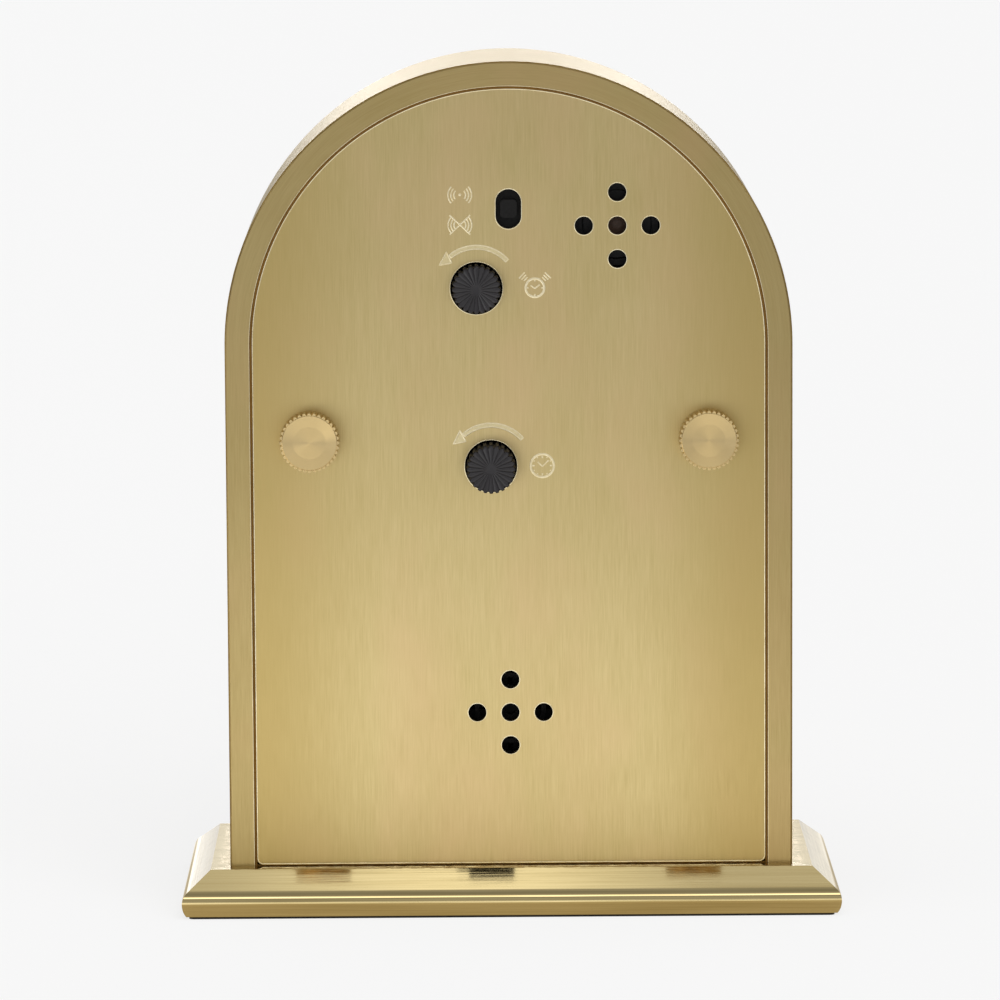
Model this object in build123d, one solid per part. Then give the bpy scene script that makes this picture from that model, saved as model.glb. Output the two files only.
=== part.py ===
from build123d import *
import math
import os

# Mantel alarm clock in a solid brass arched case on a bevelled base, seen from its back.
# Millimetres. The dial faces -Y, the back plate faces +Y, +Z is up, and the origin is
# the centre of the felt's underside. Heights named "..._UP" count from the base's top.

# Base
BASE_W = 127.0
BASE_D = 59.1
BASE_H = 8.4
BEVEL_RUN = 4.55
BEVEL_DROP = 3.8
SHOULDER_RUN = 0.6
SHOULDER_DROP = 0.95
BEAD_RUN = 0.25
BEAD_DROP = 0.12
FACE_TUCK = 0.8
SHOULDER_BULGE_SHARE = 0.35
FACE_CREST_SHARE = 1 / 3
FELT_T = 0.5
FELT_INSET = 0.5
FELT_CORNER_R = 1.0

# Case
CASE_W = 108.75
CASE_H = 155.4
CASE_D = 42.4
RIM_W = 4.7
LEDGE_W = 1.5
FRONT_WALL_T = 3.2
RIM_EDGE = 0.35

# Back plate and what shows on it
PLATE_T = 1.5
PLATE_SINK = 0.6
PLATE_GAP = 0.5
PLATE_UP = 0.25
PLATE_CORNER_R = 1.2
SCREW_X = 38.2
SCREW_UP = 83.0
ALARM_KNOB_X = 6.1
ALARM_KNOB_UP = 112.0
TIME_KNOB_X = 3.5
TIME_KNOB_UP = 77.7
SWITCH_X = -0.1
SWITCH_UP = 127.2
BUZZER_X = -20.9
BUZZER_UP = 123.9
SPEAKER_UP = 29.8
VENT_R = 1.75
VENT_PITCH = 6.4
KNOB_HOLE_R = 5.0
SLOT_W = 4.9
SLOT_H = 7.6

# Thumb screws, their captive rings and the threaded blocks they enter
HEAD_R = 5.7
HEAD_H = 5.2
HEAD_EDGE = 0.1
HEAD_DIMPLE = 0.25
KNURLS = 36
KNURL_DEPTH = 0.4
SHANK_R = 2.0
SHANK_IN_BLOCK = 4.0
SHANK_GAP = 0.07
RING_R = 3.6
RING_T = 0.5
RING_SEAT = 0.3
UNSCREW_TRAVEL = 4.2
BLOCK_R = 4.6
BLOCK_D = 8.0

# Knobs
KNOB_R = 4.7
KNOB_SUNK = 4.8
ALARM_KNOB_PROUD = 2.8
TIME_KNOB_PROUD = 4.7
KNOB_FLUTES = 24
FLUTE_DEPTH = 0.4
KNOB_EDGE = 0.35
RIDGE_ROOT_SHARE = 0.42
RIDGE_TIP_SHARE = 0.2
ARBOR_R = 1.25
ARBOR_IN_KNOB = 4.0

# Front: bezel, lens, dial ring and dial
LENS_R = 40.2
LENS_T = 1.5
LENS_GAP = 0.1
BEZEL_WALL = 0.7
BEZEL_LIP_W = 1.3
BEZEL_LIP_T = 0.7
BEZEL_FLANGE_W = 4.0
BEZEL_PROUD = 2.2
BEZEL_EDGE = 1.1
BEZEL_LIP_EDGE = 0.35
GASKET_T = 0.8
GASKET_W = 1.4
DIAL_R = 46.5
DIAL_T = 0.8
DIAL_RING_D = 2.8
DIAL_VIEW_R = 38.4
DIAL_SCREW_R = 1.0
DIAL_SCREW_RING_R = 44.5
DIAL_SCREW_TURN = 30.0
DIAL_SCREW_GRIP = 2.0

# Hands
HAND_T = 0.35
HAND_GAP = 0.55
HAND_HUB = 1.1
HAND_TAIL_SHARE = 0.6
HAND_SHOULDER_SHARE = 0.7
HOUR_HAND_L = 22.0
HOUR_HAND_W = 3.0
MINUTE_HAND_L = 33.0
MINUTE_HAND_W = 2.4
ALARM_HAND_L = 18.0
ALARM_HAND_W = 2.0
SECOND_HAND_L = 34.5
SECOND_HAND_W = 0.9
SECOND_TAIL_L = 10.0
HOUR_HAND_DEG = 304.3
MINUTE_HAND_DEG = 51.6
SECOND_HAND_DEG = 216.0
ALARM_HAND_DEG = 195.0

# Movement housing
MOVE_SIDE_GAP = 2.6
MOVE_TOP_UP = 134.0
MOVE_BOTTOM_UP = 68.2
MOVE_REAR_Y = 12.0
SHELL_T = 1.4
SHELL_CORNER_R = 3.0
BOSS_R = 2.2
BOSS_INSET = 2.6
MOVE_SCREW_R = 0.9
MOVE_SCREW_L = 8.0

# Centre bush that clamps the movement to the dial
BUSH_R = 3.5
BUSH_FLANGE_R = 5.0
BUSH_FLANGE_T = 0.35
WASHER_R = 5.4
WASHER_T = 0.4
NUT_FLAT = 10.0
NUT_T = 1.5
BUSH_END = 0.3

# Wheels: tooth counts, thicknesses and spacing
WHEEL_T = 1.0
THIN_WHEEL_T = 0.8
WHEEL_GAP = 0.5
END_PLAY = 0.1
PINION_PLAY = 0.25
ALARM_SET_TEETH = 24
ALARM_TEETH = 36
CANNON_TEETH = 12
MOTION_TEETH = 36
TIME_SET_TEETH = 34
MOTION_PINION_TEETH = 10
HOUR_TEETH = 40
THIRD_TEETH = 45
SECOND_PINION_TEETH = 6
CENTRE_TEETH = 48
THIRD_PINION_TEETH = 6
SECOND_TEETH = 40
FIFTH_PINION_TEETH = 8
FIFTH_TEETH = 36
ROTOR_PINION_TEETH = 6
TOOTH_ADD = 0.85
TOOTH_DED = 1.15
TOOTH_TIP_SHARE = 0.11
TOOTH_ROOT_SHARE = 0.29
TUBE_WALL = 0.55
FIT = 0.08
SECOND_ARBOR_R = 0.45
PIVOT_R = 0.4
PIVOT_FIT = 0.05
PIVOT_END_GAP = 0.2
MOTION_ARBOR_R = 0.7

# Running train: places and plates
THIRD_AXIS_R = 8.4
THIRD_DEG = 190.0
FIFTH_AXIS_R = 8.5
FIFTH_DEG = -30.0
ROTOR_AXIS_R = 6.3
ROTOR_DEG = -60.0
TRAIN_PLATE_T = 0.8
TRAIN_PLATE_W = 42.0
TRAIN_PLATE_LOW_UP = 80.2
TRAIN_PLATE_TOP_UP = 118.4
TRAIN_PLATE_CORNER_R = 2.5
PILLAR_R = 1.5
PILLAR_SPIGOT_R = 0.9
PILLAR_X = 18.5
PILLAR_LOW_UP = 86.5
PILLAR_TOP_UP = 115.6
MAGNET_R = 2.2
MAGNET_L = 1.8
STATOR_T = 0.8
STATOR_HOLE_R = 2.7
STATOR_POLE_R = 4.4
STATOR_STRIP_W = 2.6
STATOR_LOOP_W = 10.0
COIL_WALL_GAP = 1.8
COIL_R = 2.9
COIL_CHEEK_R = 3.3
COIL_CHEEK_T = 0.8
COIL_LOW_UP = 80.2
COIL_TOP_UP = 103.8
COIL_GAP = 0.1

# Electronics
BOARD_SIDE_GAP = 1.6
BOARD_LOW_UP = 118.8
BOARD_TOP_UP = 132.2
BOARD_T = 1.0
BOARD_Y = 5.0
BOARD_BOSS_INSET = 6.0
BOARD_BOSS_UP = 121.5
CRYSTAL_X = 12.0
CRYSTAL_R = 1.0
CRYSTAL_L = 6.2
SWITCH_BODY_W = 7.6
SWITCH_BODY_H = 9.0
SLIDER_W = 3.2
SLIDER_H = 3.5
SLIDER_FLANGE_W = 5.6
SLIDER_FLANGE_H = 6.4
SLIDER_FLANGE_T = 1.0
SLIDER_GAP = 0.2
SLIDER_TRAVEL = 1.7
SLIDER_SUNK = 0.3
SLIDER_CORNER_R = 0.8
BUZZER_R = 7.9
BUZZER_H = 5.6
BUZZER_WALL = 1.2
BUZZER_DOME_R = 3.4
BUZZER_DOME_RISE = 0.7
BUZZER_DISC_T = 0.4
DOME_STEPS = 4

# Battery and its holder
CELL_R = 7.2
CELL_L = 49.2
NUB_R = 2.7
NUB_L = 1.2
HOLDER_WALL = 1.5
HOLDER_END_ROOM = 2.6
CELL_GAP = 0.25
CELL_Y = 1.0
CONTACT_T = 0.4
CONTACT_W = 9.0

# Speaker
BOX_W = 44.0
BOX_TOP_GAP = 1.3
BOX_FRONT_Y = -4.0
BOX_REAR_Y = 13.0
BOX_WALL = 1.5
BOX_FOOT_W = 6.0
BOX_FOOT_T = 2.0
BOX_CORNER_R = 2.0
BOX_INNER_R = 1.0
GRILLE_T = 1.2
GRILLE_RIBS = 6
GRILLE_RIB_PITCH = 2.4
GRILLE_RIB_W = 0.9
GRILLE_RIB_H = 1.2
GRILLE_SLOT_W = 0.9
GRILLE_SLOTS = 8
BASKET_GAP = 0.3
BASKET_WALL = 0.9
BASKET_FLANGE_T = 1.0
BASKET_D = 7.5
MAGNET_CUP_R = 10.0
MAGNET_CUP_D = 4.0
CONE_T = 0.4
CONE_GAP = 0.3
DUST_CAP_R = 4.0

# Fasteners from below and inside
CASE_SCREW_R = 1.5
CASE_SCREW_HEAD_R = 2.8
CASE_SCREW_HEAD_H = 2.6
CASE_SCREW_IN_CASE = 10.0
CASE_SCREW_Y = 12.0
SMALL_SCREW_R = 1.2
SMALL_HEAD_R = 2.1
SMALL_HEAD_H = 1.4
SMALL_SCREW_GRIP = 4.0
SCREW_GAP = 0.05

# Worked out from the sizes above
TURN = 360.0
HALF_TURN = TURN / 2
QUARTER_TURN = TURN / 4
BASE_TOP = FELT_T + BASE_H
ARCH_R = CASE_W / 2
ARCH_UP = CASE_H - ARCH_R
ARCH_Z = BASE_TOP + ARCH_UP
CASE_REAR = CASE_D / 2
CASE_FRONT = -CASE_D / 2
CASE_INNER_FRONT = CASE_FRONT + FRONT_WALL_T
OPENING_R = ARCH_R - RIM_W
CAVITY_R = OPENING_R - LEDGE_W
PLATE_REAR = CASE_REAR - PLATE_SINK
PLATE_FRONT = PLATE_REAR - PLATE_T
KNOB_FRONT = CASE_REAR - KNOB_SUNK
BEZEL_BORE = LENS_R + LENS_GAP
DIAL_HOLE_R = BEZEL_BORE + BEZEL_WALL
DIAL_FRONT = CASE_INNER_FRONT + DIAL_RING_D
DIAL_REAR = DIAL_FRONT + DIAL_T
MOVE_FRONT = DIAL_REAR
MOVE_INNER_FRONT = MOVE_FRONT + SHELL_T
MOVE_INNER_REAR = MOVE_REAR_Y - SHELL_T
MOVE_W = 2 * (SCREW_X - BLOCK_R - MOVE_SIDE_GAP)
COIL_X = MOVE_W / 2 - SHELL_T - COIL_WALL_GAP - COIL_CHEEK_R
STATOR_STRIP_X = COIL_X - STATOR_LOOP_W
BOARD_W = MOVE_W - 2 * (SHELL_T + BOARD_SIDE_GAP)
BOARD_BOSS_X = BOARD_W / 2 - BOARD_BOSS_INSET
BUSH_FRONT = DIAL_FRONT - WASHER_T - NUT_T - BUSH_END
HOLDER_H = 2 * (CELL_R + CELL_GAP + HOLDER_WALL)
BOX_H = MOVE_BOTTOM_UP - HOLDER_H - BOX_TOP_GAP
BASKET_R = BOX_H - BOX_WALL - SPEAKER_UP - BASKET_GAP


def level(start, thickness):
    """The front and rear Y of a layer that starts at a depth."""
    return start, start + thickness


ALARM_Y = level(MOVE_INNER_FRONT + BUSH_FLANGE_T + END_PLAY, WHEEL_T)
HOUR_Y = level(ALARM_Y[1] + WHEEL_GAP, WHEEL_T)
MOTION_Y = level(HOUR_Y[1] + WHEEL_GAP, WHEEL_T)
MID_PLATE_Y = level(MOTION_Y[1] + WHEEL_GAP, TRAIN_PLATE_T)
CENTRE_Y = level(MID_PLATE_Y[1] + WHEEL_GAP, THIN_WHEEL_T)
THIRD_Y = level(CENTRE_Y[1] + WHEEL_GAP, THIN_WHEEL_T)
SECOND_Y = level(THIRD_Y[1] + WHEEL_GAP, THIN_WHEEL_T)
FIFTH_Y = level(SECOND_Y[1] + WHEEL_GAP, THIN_WHEEL_T)
MAGNET_Y = level(FIFTH_Y[1] + WHEEL_GAP, MAGNET_L)
REAR_PLATE_Y = level(MAGNET_Y[1] + WHEEL_GAP, TRAIN_PLATE_T)
STATOR_Y = level((MAGNET_Y[0] + MAGNET_Y[1] - STATOR_T) / 2, STATOR_T)
CANNON_END = CENTRE_Y[1] + END_PLAY
PINION_FRONT = CANNON_END + PINION_PLAY

ALARM_HAND_Y = level(BUSH_FRONT - HAND_GAP / 2 - HAND_T, HAND_T)
HOUR_HAND_Y = level(ALARM_HAND_Y[0] - HAND_GAP - HAND_T, HAND_T)
MINUTE_HAND_Y = level(HOUR_HAND_Y[0] - HAND_GAP - HAND_T, HAND_T)
SECOND_HAND_Y = level(MINUTE_HAND_Y[0] - HAND_GAP - HAND_T, HAND_T)

CANNON_BORE = SECOND_ARBOR_R + FIT
CANNON_R = CANNON_BORE + TUBE_WALL
HOUR_BORE = CANNON_R + FIT
HOUR_TUBE_R = HOUR_BORE + TUBE_WALL
ALARM_BORE = HOUR_TUBE_R + FIT
ALARM_TUBE_R = ALARM_BORE + TUBE_WALL
BUSH_BORE = ALARM_TUBE_R + FIT


def polar(centre, distance, degrees):
    """The point at a distance and an angle, in degrees from +X towards +Z, round a centre."""
    turn = math.radians(degrees)
    return centre[0] + distance * math.cos(turn), centre[1] + distance * math.sin(turn)


def bearing(start, end):
    """The direction from one point to another, in degrees from +X towards +Z."""
    return math.degrees(math.atan2(end[1] - start[1], end[0] - start[0]))


HAND_AXIS = (0.0, ARCH_Z)
TIME_AXIS = (TIME_KNOB_X, BASE_TOP + TIME_KNOB_UP)
ALARM_AXIS = (ALARM_KNOB_X, BASE_TOP + ALARM_KNOB_UP)
SWITCH_AT = (SWITCH_X, BASE_TOP + SWITCH_UP)
BUZZER_AT = (BUZZER_X, BASE_TOP + BUZZER_UP)
SPEAKER_AT = (0.0, BASE_TOP + SPEAKER_UP)
SCREW_Z = BASE_TOP + SCREW_UP
THIRD_AXIS = polar(HAND_AXIS, THIRD_AXIS_R, THIRD_DEG)
FIFTH_AXIS = polar(HAND_AXIS, FIFTH_AXIS_R, FIFTH_DEG)
ROTOR_AXIS = polar(FIFTH_AXIS, ROTOR_AXIS_R, ROTOR_DEG)

# Each module follows from the distance between its two arbors and its teeth.
TIME_DIST = math.dist(HAND_AXIS, TIME_AXIS)
TIME_DEG = bearing(HAND_AXIS, TIME_AXIS)
TIME_MODULE = 2 * TIME_DIST / (CANNON_TEETH + 2 * MOTION_TEETH + TIME_SET_TEETH)
MOTION_DIST = TIME_MODULE * (CANNON_TEETH + MOTION_TEETH) / 2
MOTION_AXIS = polar(HAND_AXIS, MOTION_DIST, TIME_DEG)
HOUR_MODULE = 2 * MOTION_DIST / (HOUR_TEETH + MOTION_PINION_TEETH)
ALARM_DEG = bearing(HAND_AXIS, ALARM_AXIS)
ALARM_MODULE = 2 * math.dist(HAND_AXIS, ALARM_AXIS) / (ALARM_TEETH + ALARM_SET_TEETH)
THIRD_MODULE = 2 * THIRD_AXIS_R / (SECOND_PINION_TEETH + THIRD_TEETH)
CENTRE_MODULE = 2 * THIRD_AXIS_R / (CENTRE_TEETH + THIRD_PINION_TEETH)
SECOND_MODULE = 2 * FIFTH_AXIS_R / (SECOND_TEETH + FIFTH_PINION_TEETH)
FIFTH_MODULE = 2 * ROTOR_AXIS_R / (FIFTH_TEETH + ROTOR_PINION_TEETH)


def slab(outline, y_low, y_high):
    """An outline drawn as (X, Z), made solid between two depths."""
    plane = Plane(origin=(0, y_high, 0), x_dir=(1, 0, 0), z_dir=(0, -1, 0))
    return extrude(plane * outline, amount=y_high - y_low, dir=(0, -1, 0))


def rod(centre, radius, y_low, y_high):
    """A round bar along Y."""
    return slab(Pos(*centre) * Circle(radius), y_low, y_high)


def tube(centre, outer, inner, y_low, y_high):
    """A round tube along Y."""
    return slab(Pos(*centre) * (Circle(outer) - Circle(inner)), y_low, y_high)


def turned(profile, centre):
    """A (radius, Y) outline turned about the line along Y through a centre."""
    x, z = centre
    face = Pos(x, 0, z) * make_face(Polyline(*profile, close=True))
    return revolve(face, axis=Axis((x, 0, z), (0, 1, 0)))


def post(x, y, radius, z_low, z_high):
    """A round bar along Z."""
    return extrude(Pos(x, y, z_low) * Circle(radius), amount=z_high - z_low)


def block(x_low, x_high, y_low, y_high, z_low, z_high):
    """A plain box between two corners."""
    size = (x_high - x_low, y_high - y_low, z_high - z_low)
    return Pos(x_low, y_low, z_low) * Box(*size, align=(Align.MIN, Align.MIN, Align.MIN))


def rounded(x_low, x_high, z_low, z_high, radius):
    """A rectangle outline with round corners, drawn as (X, Z)."""
    middle = ((x_low + x_high) / 2, (z_low + z_high) / 2)
    return Pos(*middle) * RectangleRounded(x_high - x_low, z_high - z_low, radius)


def mirrored(x, values):
    """Each (sign * x, value) pair, left and right."""
    return [(sign * x, value) for sign in (-1, 1) for value in values]


def arch(radius, z_low):
    """The case's outline at a half width: straight sides under a half circle."""
    return make_face(
        Line((-radius, z_low), (radius, z_low))
        + Line((radius, z_low), (radius, ARCH_Z))
        + ThreePointArc((radius, ARCH_Z), (0, ARCH_Z + radius), (-radius, ARCH_Z))
        + Line((-radius, ARCH_Z), (-radius, z_low))
    )


def gear(teeth, module, degrees, centre):
    """A toothed outline with the middle of one tooth at the given direction."""
    pitch = TURN / teeth
    radius = module * teeth / 2
    root = radius - TOOTH_DED * module
    tip = radius + TOOTH_ADD * module
    corners = (
        (root, -TOOTH_ROOT_SHARE),
        (tip, -TOOTH_TIP_SHARE),
        (tip, TOOTH_TIP_SHARE),
        (root, TOOTH_ROOT_SHARE),
    )
    points = [
        polar(centre, distance, degrees + (tooth + share) * pitch)
        for tooth in range(teeth)
        for distance, share in corners
    ]
    return make_face(Polyline(*points, close=True))


def meshed(teeth, degrees, mate_teeth, toward):
    """The tooth direction that puts a mate in mesh with a gear, along the line between them."""
    offset = (degrees - toward) * teeth / mate_teeth
    return toward + HALF_TURN - offset + HALF_TURN / mate_teeth


# Directions of one tooth of each wheel, so that every pair starts in mesh
CANNON_TURN = TIME_DEG
MOTION_TURN = meshed(CANNON_TEETH, CANNON_TURN, MOTION_TEETH, TIME_DEG)
TIME_SET_TURN = meshed(MOTION_TEETH, MOTION_TURN, TIME_SET_TEETH, TIME_DEG)
HOUR_TURN = TIME_DEG
MOTION_PINION_TURN = meshed(HOUR_TEETH, HOUR_TURN, MOTION_PINION_TEETH, TIME_DEG)
ALARM_TURN = ALARM_DEG
ALARM_SET_TURN = meshed(ALARM_TEETH, ALARM_TURN, ALARM_SET_TEETH, ALARM_DEG)
CENTRE_TURN = THIRD_DEG
THIRD_PINION_TURN = meshed(CENTRE_TEETH, CENTRE_TURN, THIRD_PINION_TEETH, THIRD_DEG)
SECOND_PINION_TURN = THIRD_DEG
THIRD_TURN = meshed(SECOND_PINION_TEETH, SECOND_PINION_TURN, THIRD_TEETH, THIRD_DEG)
SECOND_TURN = FIFTH_DEG
FIFTH_PINION_TURN = meshed(SECOND_TEETH, SECOND_TURN, FIFTH_PINION_TEETH, FIFTH_DEG)
FIFTH_TURN = ROTOR_DEG
ROTOR_TURN = meshed(FIFTH_TEETH, FIFTH_TURN, ROTOR_PINION_TEETH, ROTOR_DEG)


# Base

def base_profile(half_size):
    """Half of the base's section: bevel, rounded shoulder, fine bead and bulging face."""
    bevel_end = half_size - SHOULDER_RUN - BEAD_RUN
    shoulder_z = BASE_TOP - BEVEL_DROP
    bead_z = shoulder_z - SHOULDER_DROP
    face_top = (half_size - BEAD_RUN / 2, bead_z - BEAD_DROP)
    face_low = (half_size - FACE_TUCK, FELT_T)
    face_mid = (half_size, face_top[1] - (face_top[1] - FELT_T) * FACE_CREST_SHARE)
    shoulder_end = (half_size - BEAD_RUN, bead_z)
    bulge_x = half_size - BEAD_RUN - SHOULDER_RUN * SHOULDER_BULGE_SHARE
    shoulder_mid = (bulge_x, bead_z + SHOULDER_DROP / 2)
    top_end = (bevel_end - BEVEL_RUN, BASE_TOP)
    return (
        Line((0, FELT_T), (0, BASE_TOP))
        + Line((0, BASE_TOP), top_end)
        + Line(top_end, (bevel_end, shoulder_z))
        + ThreePointArc((bevel_end, shoulder_z), shoulder_mid, shoulder_end)
        + Line(shoulder_end, face_top)
        + ThreePointArc(face_top, face_mid, face_low)
        + Line(face_low, (0, FELT_T))
    )


def base_bar(half_size, length, along_x):
    """The base's full section carried straight along X or Y."""
    half = make_face(base_profile(half_size))
    section = half + mirror(half, about=Plane.YZ)
    if along_x:
        plane = Plane(origin=(-length / 2, 0, 0), x_dir=(0, 1, 0), z_dir=(1, 0, 0))
        return extrude(plane * section, amount=length, dir=(1, 0, 0))
    return slab(section, -length / 2, length / 2)


def base_plinth():
    """The brass base: two moulded bars crossed, which mitres the corners."""
    plinth = base_bar(BASE_D / 2, BASE_W, True) & base_bar(BASE_W / 2, BASE_D, False)
    for x, y in case_screw_places():
        plinth -= post(x, y, CASE_SCREW_R + SCREW_GAP, FELT_T, BASE_TOP)
        recess_r = CASE_SCREW_HEAD_R + SCREW_GAP
        plinth -= post(x, y, recess_r, FELT_T, FELT_T + CASE_SCREW_HEAD_H)
    for x, y in box_screw_places():
        plinth -= post(x, y, SMALL_SCREW_R + SCREW_GAP, BASE_TOP - SMALL_SCREW_GRIP, BASE_TOP)
    return plinth


def base_felt():
    """The dark felt pad under the base."""
    inset = FACE_TUCK + FELT_INSET
    outline = RectangleRounded(BASE_W - 2 * inset, BASE_D - 2 * inset, FELT_CORNER_R)
    return extrude(outline, amount=FELT_T)


def case_screw_places():
    """Where the four screws from below enter the case's side walls."""
    return mirrored((ARCH_R + CAVITY_R) / 2, (-CASE_SCREW_Y, CASE_SCREW_Y))


def case_screws():
    """Four screws that hold the case on its base, their heads under the felt."""
    screws = []
    for x, y in case_screw_places():
        head_top = FELT_T + CASE_SCREW_HEAD_H
        head = post(x, y, CASE_SCREW_HEAD_R, FELT_T, head_top)
        screws.append(head + post(x, y, CASE_SCREW_R, head_top, BASE_TOP + CASE_SCREW_IN_CASE))
    return screws


# Case

def case_shell():
    """The arched brass case: band and front wall in one, open at the back and below."""
    shell = slab(arch(ARCH_R, BASE_TOP), CASE_FRONT, CASE_REAR)
    rear_edges = shell.edges().group_by(Axis.Y)[-1].filter_by(
        lambda edge: edge.center().Z > BASE_TOP + RIM_EDGE
    )
    front_edges = shell.edges().group_by(Axis.Y)[0].filter_by(
        lambda edge: edge.center().Z > BASE_TOP + RIM_EDGE
    )
    shell = chamfer(rear_edges + front_edges, RIM_EDGE)
    shell -= slab(arch(CAVITY_R, BASE_TOP), CASE_INNER_FRONT, CASE_REAR)
    shell -= slab(arch(OPENING_R, BASE_TOP), PLATE_FRONT, CASE_REAR)
    shell -= rod(HAND_AXIS, DIAL_HOLE_R, CASE_FRONT, CASE_INNER_FRONT)
    for x, y in case_screw_places():
        hole_top = BASE_TOP + CASE_SCREW_IN_CASE + SCREW_GAP
        shell -= post(x, y, CASE_SCREW_R + SCREW_GAP, BASE_TOP, hole_top)
    for place in dial_screw_places():
        hole_front = CASE_INNER_FRONT - DIAL_SCREW_GRIP - SCREW_GAP
        shell -= rod(place, DIAL_SCREW_R + SCREW_GAP, hole_front, CASE_INNER_FRONT)
    return shell


def screw_block(side):
    """The threaded brass block that a thumb screw enters, fixed to the case wall."""
    place = (side * SCREW_X, SCREW_Z)
    rear = block_rear()
    low, high = sorted((side * SCREW_X, side * CAVITY_R))
    arm = block(low, high, rear - BLOCK_D, rear, SCREW_Z - BLOCK_R, SCREW_Z + BLOCK_R)
    body = arm + rod(place, BLOCK_R, rear - BLOCK_D, rear)
    return body - rod(place, SHANK_R + SHANK_GAP, rear - BLOCK_D, rear)


def block_rear():
    """The rear face of the threaded blocks, clear of the captive ring."""
    return ring_rear() - RING_T - RING_SEAT


def ring_rear():
    """The rear face of the captive ring when the screw is home."""
    return PLATE_FRONT - UNSCREW_TRAVEL - RING_SEAT


# Back plate

def vent_places(centre):
    """Five holes in a cross."""
    x, z = centre
    step = VENT_PITCH
    return [(x, z), (x - step, z), (x + step, z), (x, z - step), (x, z + step)]


def back_plate():
    """The inset back plate with its vents, knob holes, switch slot and screw holes."""
    plate = slab(arch(OPENING_R - PLATE_GAP, BASE_TOP + PLATE_UP), PLATE_FRONT, PLATE_REAR)
    corners = plate.edges().filter_by(Axis.Y).group_by(Axis.Z)[0]
    plate = fillet(corners, PLATE_CORNER_R)
    for place in vent_places(BUZZER_AT) + vent_places(SPEAKER_AT):
        plate -= rod(place, VENT_R, PLATE_FRONT, PLATE_REAR)
    for place in (TIME_AXIS, ALARM_AXIS):
        plate -= rod(place, KNOB_HOLE_R, PLATE_FRONT, PLATE_REAR)
    slot = Pos(*SWITCH_AT) * SlotOverall(SLOT_H, SLOT_W, rotation=QUARTER_TURN)
    plate -= slab(slot, PLATE_FRONT, PLATE_REAR)
    for side in (-1, 1):
        plate -= rod((side * SCREW_X, SCREW_Z), SHANK_R + SHANK_GAP, PLATE_FRONT, PLATE_REAR)
    return plate


def ridged(centre, radius, depth, count):
    """A round outline with straight-sided ridges, for a knurl or flutes."""
    step = TURN / count
    corners = (
        (radius - depth, -RIDGE_ROOT_SHARE),
        (radius, -RIDGE_TIP_SHARE),
        (radius, RIDGE_TIP_SHARE),
        (radius - depth, RIDGE_ROOT_SHARE),
    )
    points = [
        polar(centre, distance, (ridge + share) * step)
        for ridge in range(count)
        for distance, share in corners
    ]
    return make_face(Polyline(*points, close=True))


def thumb_screw(side):
    """A knurled thumb screw: turned head with a shallow dimple, and a shank to its block."""
    place = (side * SCREW_X, SCREW_Z)
    seat = PLATE_REAR
    top = seat + HEAD_H
    core_r = HEAD_R - KNURL_DEPTH
    knurl = slab(ridged(place, HEAD_R, KNURL_DEPTH, KNURLS), seat + HEAD_EDGE, top - HEAD_EDGE)
    core = turned(
        (
            (0, seat),
            (core_r, seat),
            (core_r, top - HEAD_EDGE),
            (core_r - HEAD_EDGE, top),
            (0, top - HEAD_DIMPLE),
        ),
        place,
    )
    shank_front = block_rear() - SHANK_IN_BLOCK
    shank = rod(place, SHANK_R, shank_front, seat)
    groove = tube(place, SHANK_R, SHANK_R - RING_SEAT, ring_rear() - RING_T, ring_rear())
    return knurl + core + shank - groove


def captive_ring(side):
    """The ring in the shank's groove that keeps a loosened screw on the plate."""
    place = (side * SCREW_X, SCREW_Z)
    bore = SHANK_R - RING_SEAT + SHANK_GAP
    return tube(place, RING_R, bore, ring_rear() - RING_T + FIT / 2, ring_rear() - FIT / 2)


# Setting knobs and their arbors

def knob(centre, proud):
    """A fluted plastic knob on the end of its arbor, standing out past the case's rear."""
    rear = CASE_REAR + proud
    front = KNOB_FRONT
    body = slab(ridged(centre, KNOB_R, FLUTE_DEPTH, KNOB_FLUTES), front, rear)
    crown = turned(
        (
            (0, front),
            (KNOB_R, front),
            (KNOB_R, rear - KNOB_EDGE),
            (KNOB_R - KNOB_EDGE, rear),
            (0, rear),
        ),
        centre,
    )
    return (body & crown) - rod(centre, ARBOR_R, front, front + ARBOR_IN_KNOB)


def set_arbor(centre, wheel, wheel_y):
    """A setting arbor: front pivot, its wheel, and the stem that enters the knob."""
    stem_end = KNOB_FRONT + ARBOR_IN_KNOB
    arbor = rod(centre, ARBOR_R, MOVE_INNER_FRONT + PIVOT_END_GAP, stem_end)
    arbor += rod(centre, PIVOT_R, pivot_front(), MOVE_INNER_FRONT + PIVOT_END_GAP)
    return arbor + slab(wheel, *wheel_y)


def pivot_front():
    """How far forward the front pivots reach into the movement's front plate."""
    return MOVE_INNER_FRONT - SHELL_T / 2


def time_set_arbor():
    """The time-setting arbor, whose wheel drives the motion wheel."""
    wheel = gear(TIME_SET_TEETH, TIME_MODULE, TIME_SET_TURN, TIME_AXIS)
    return set_arbor(TIME_AXIS, wheel, MOTION_Y)


def alarm_set_arbor():
    """The alarm-setting arbor, whose wheel drives the alarm wheel."""
    wheel = gear(ALARM_SET_TEETH, ALARM_MODULE, ALARM_SET_TURN, ALARM_AXIS)
    return set_arbor(ALARM_AXIS, wheel, ALARM_Y)


# Motion work behind the dial

def centre_wheel_tube(wheel, wheel_y, outer, inner, front, rear):
    """A wheel on a tube round the hand axis, bored right through."""
    body = rod(HAND_AXIS, outer, front, rear) + slab(wheel, *wheel_y)
    return body - rod(HAND_AXIS, inner, front, max(rear, wheel_y[1]))


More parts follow.
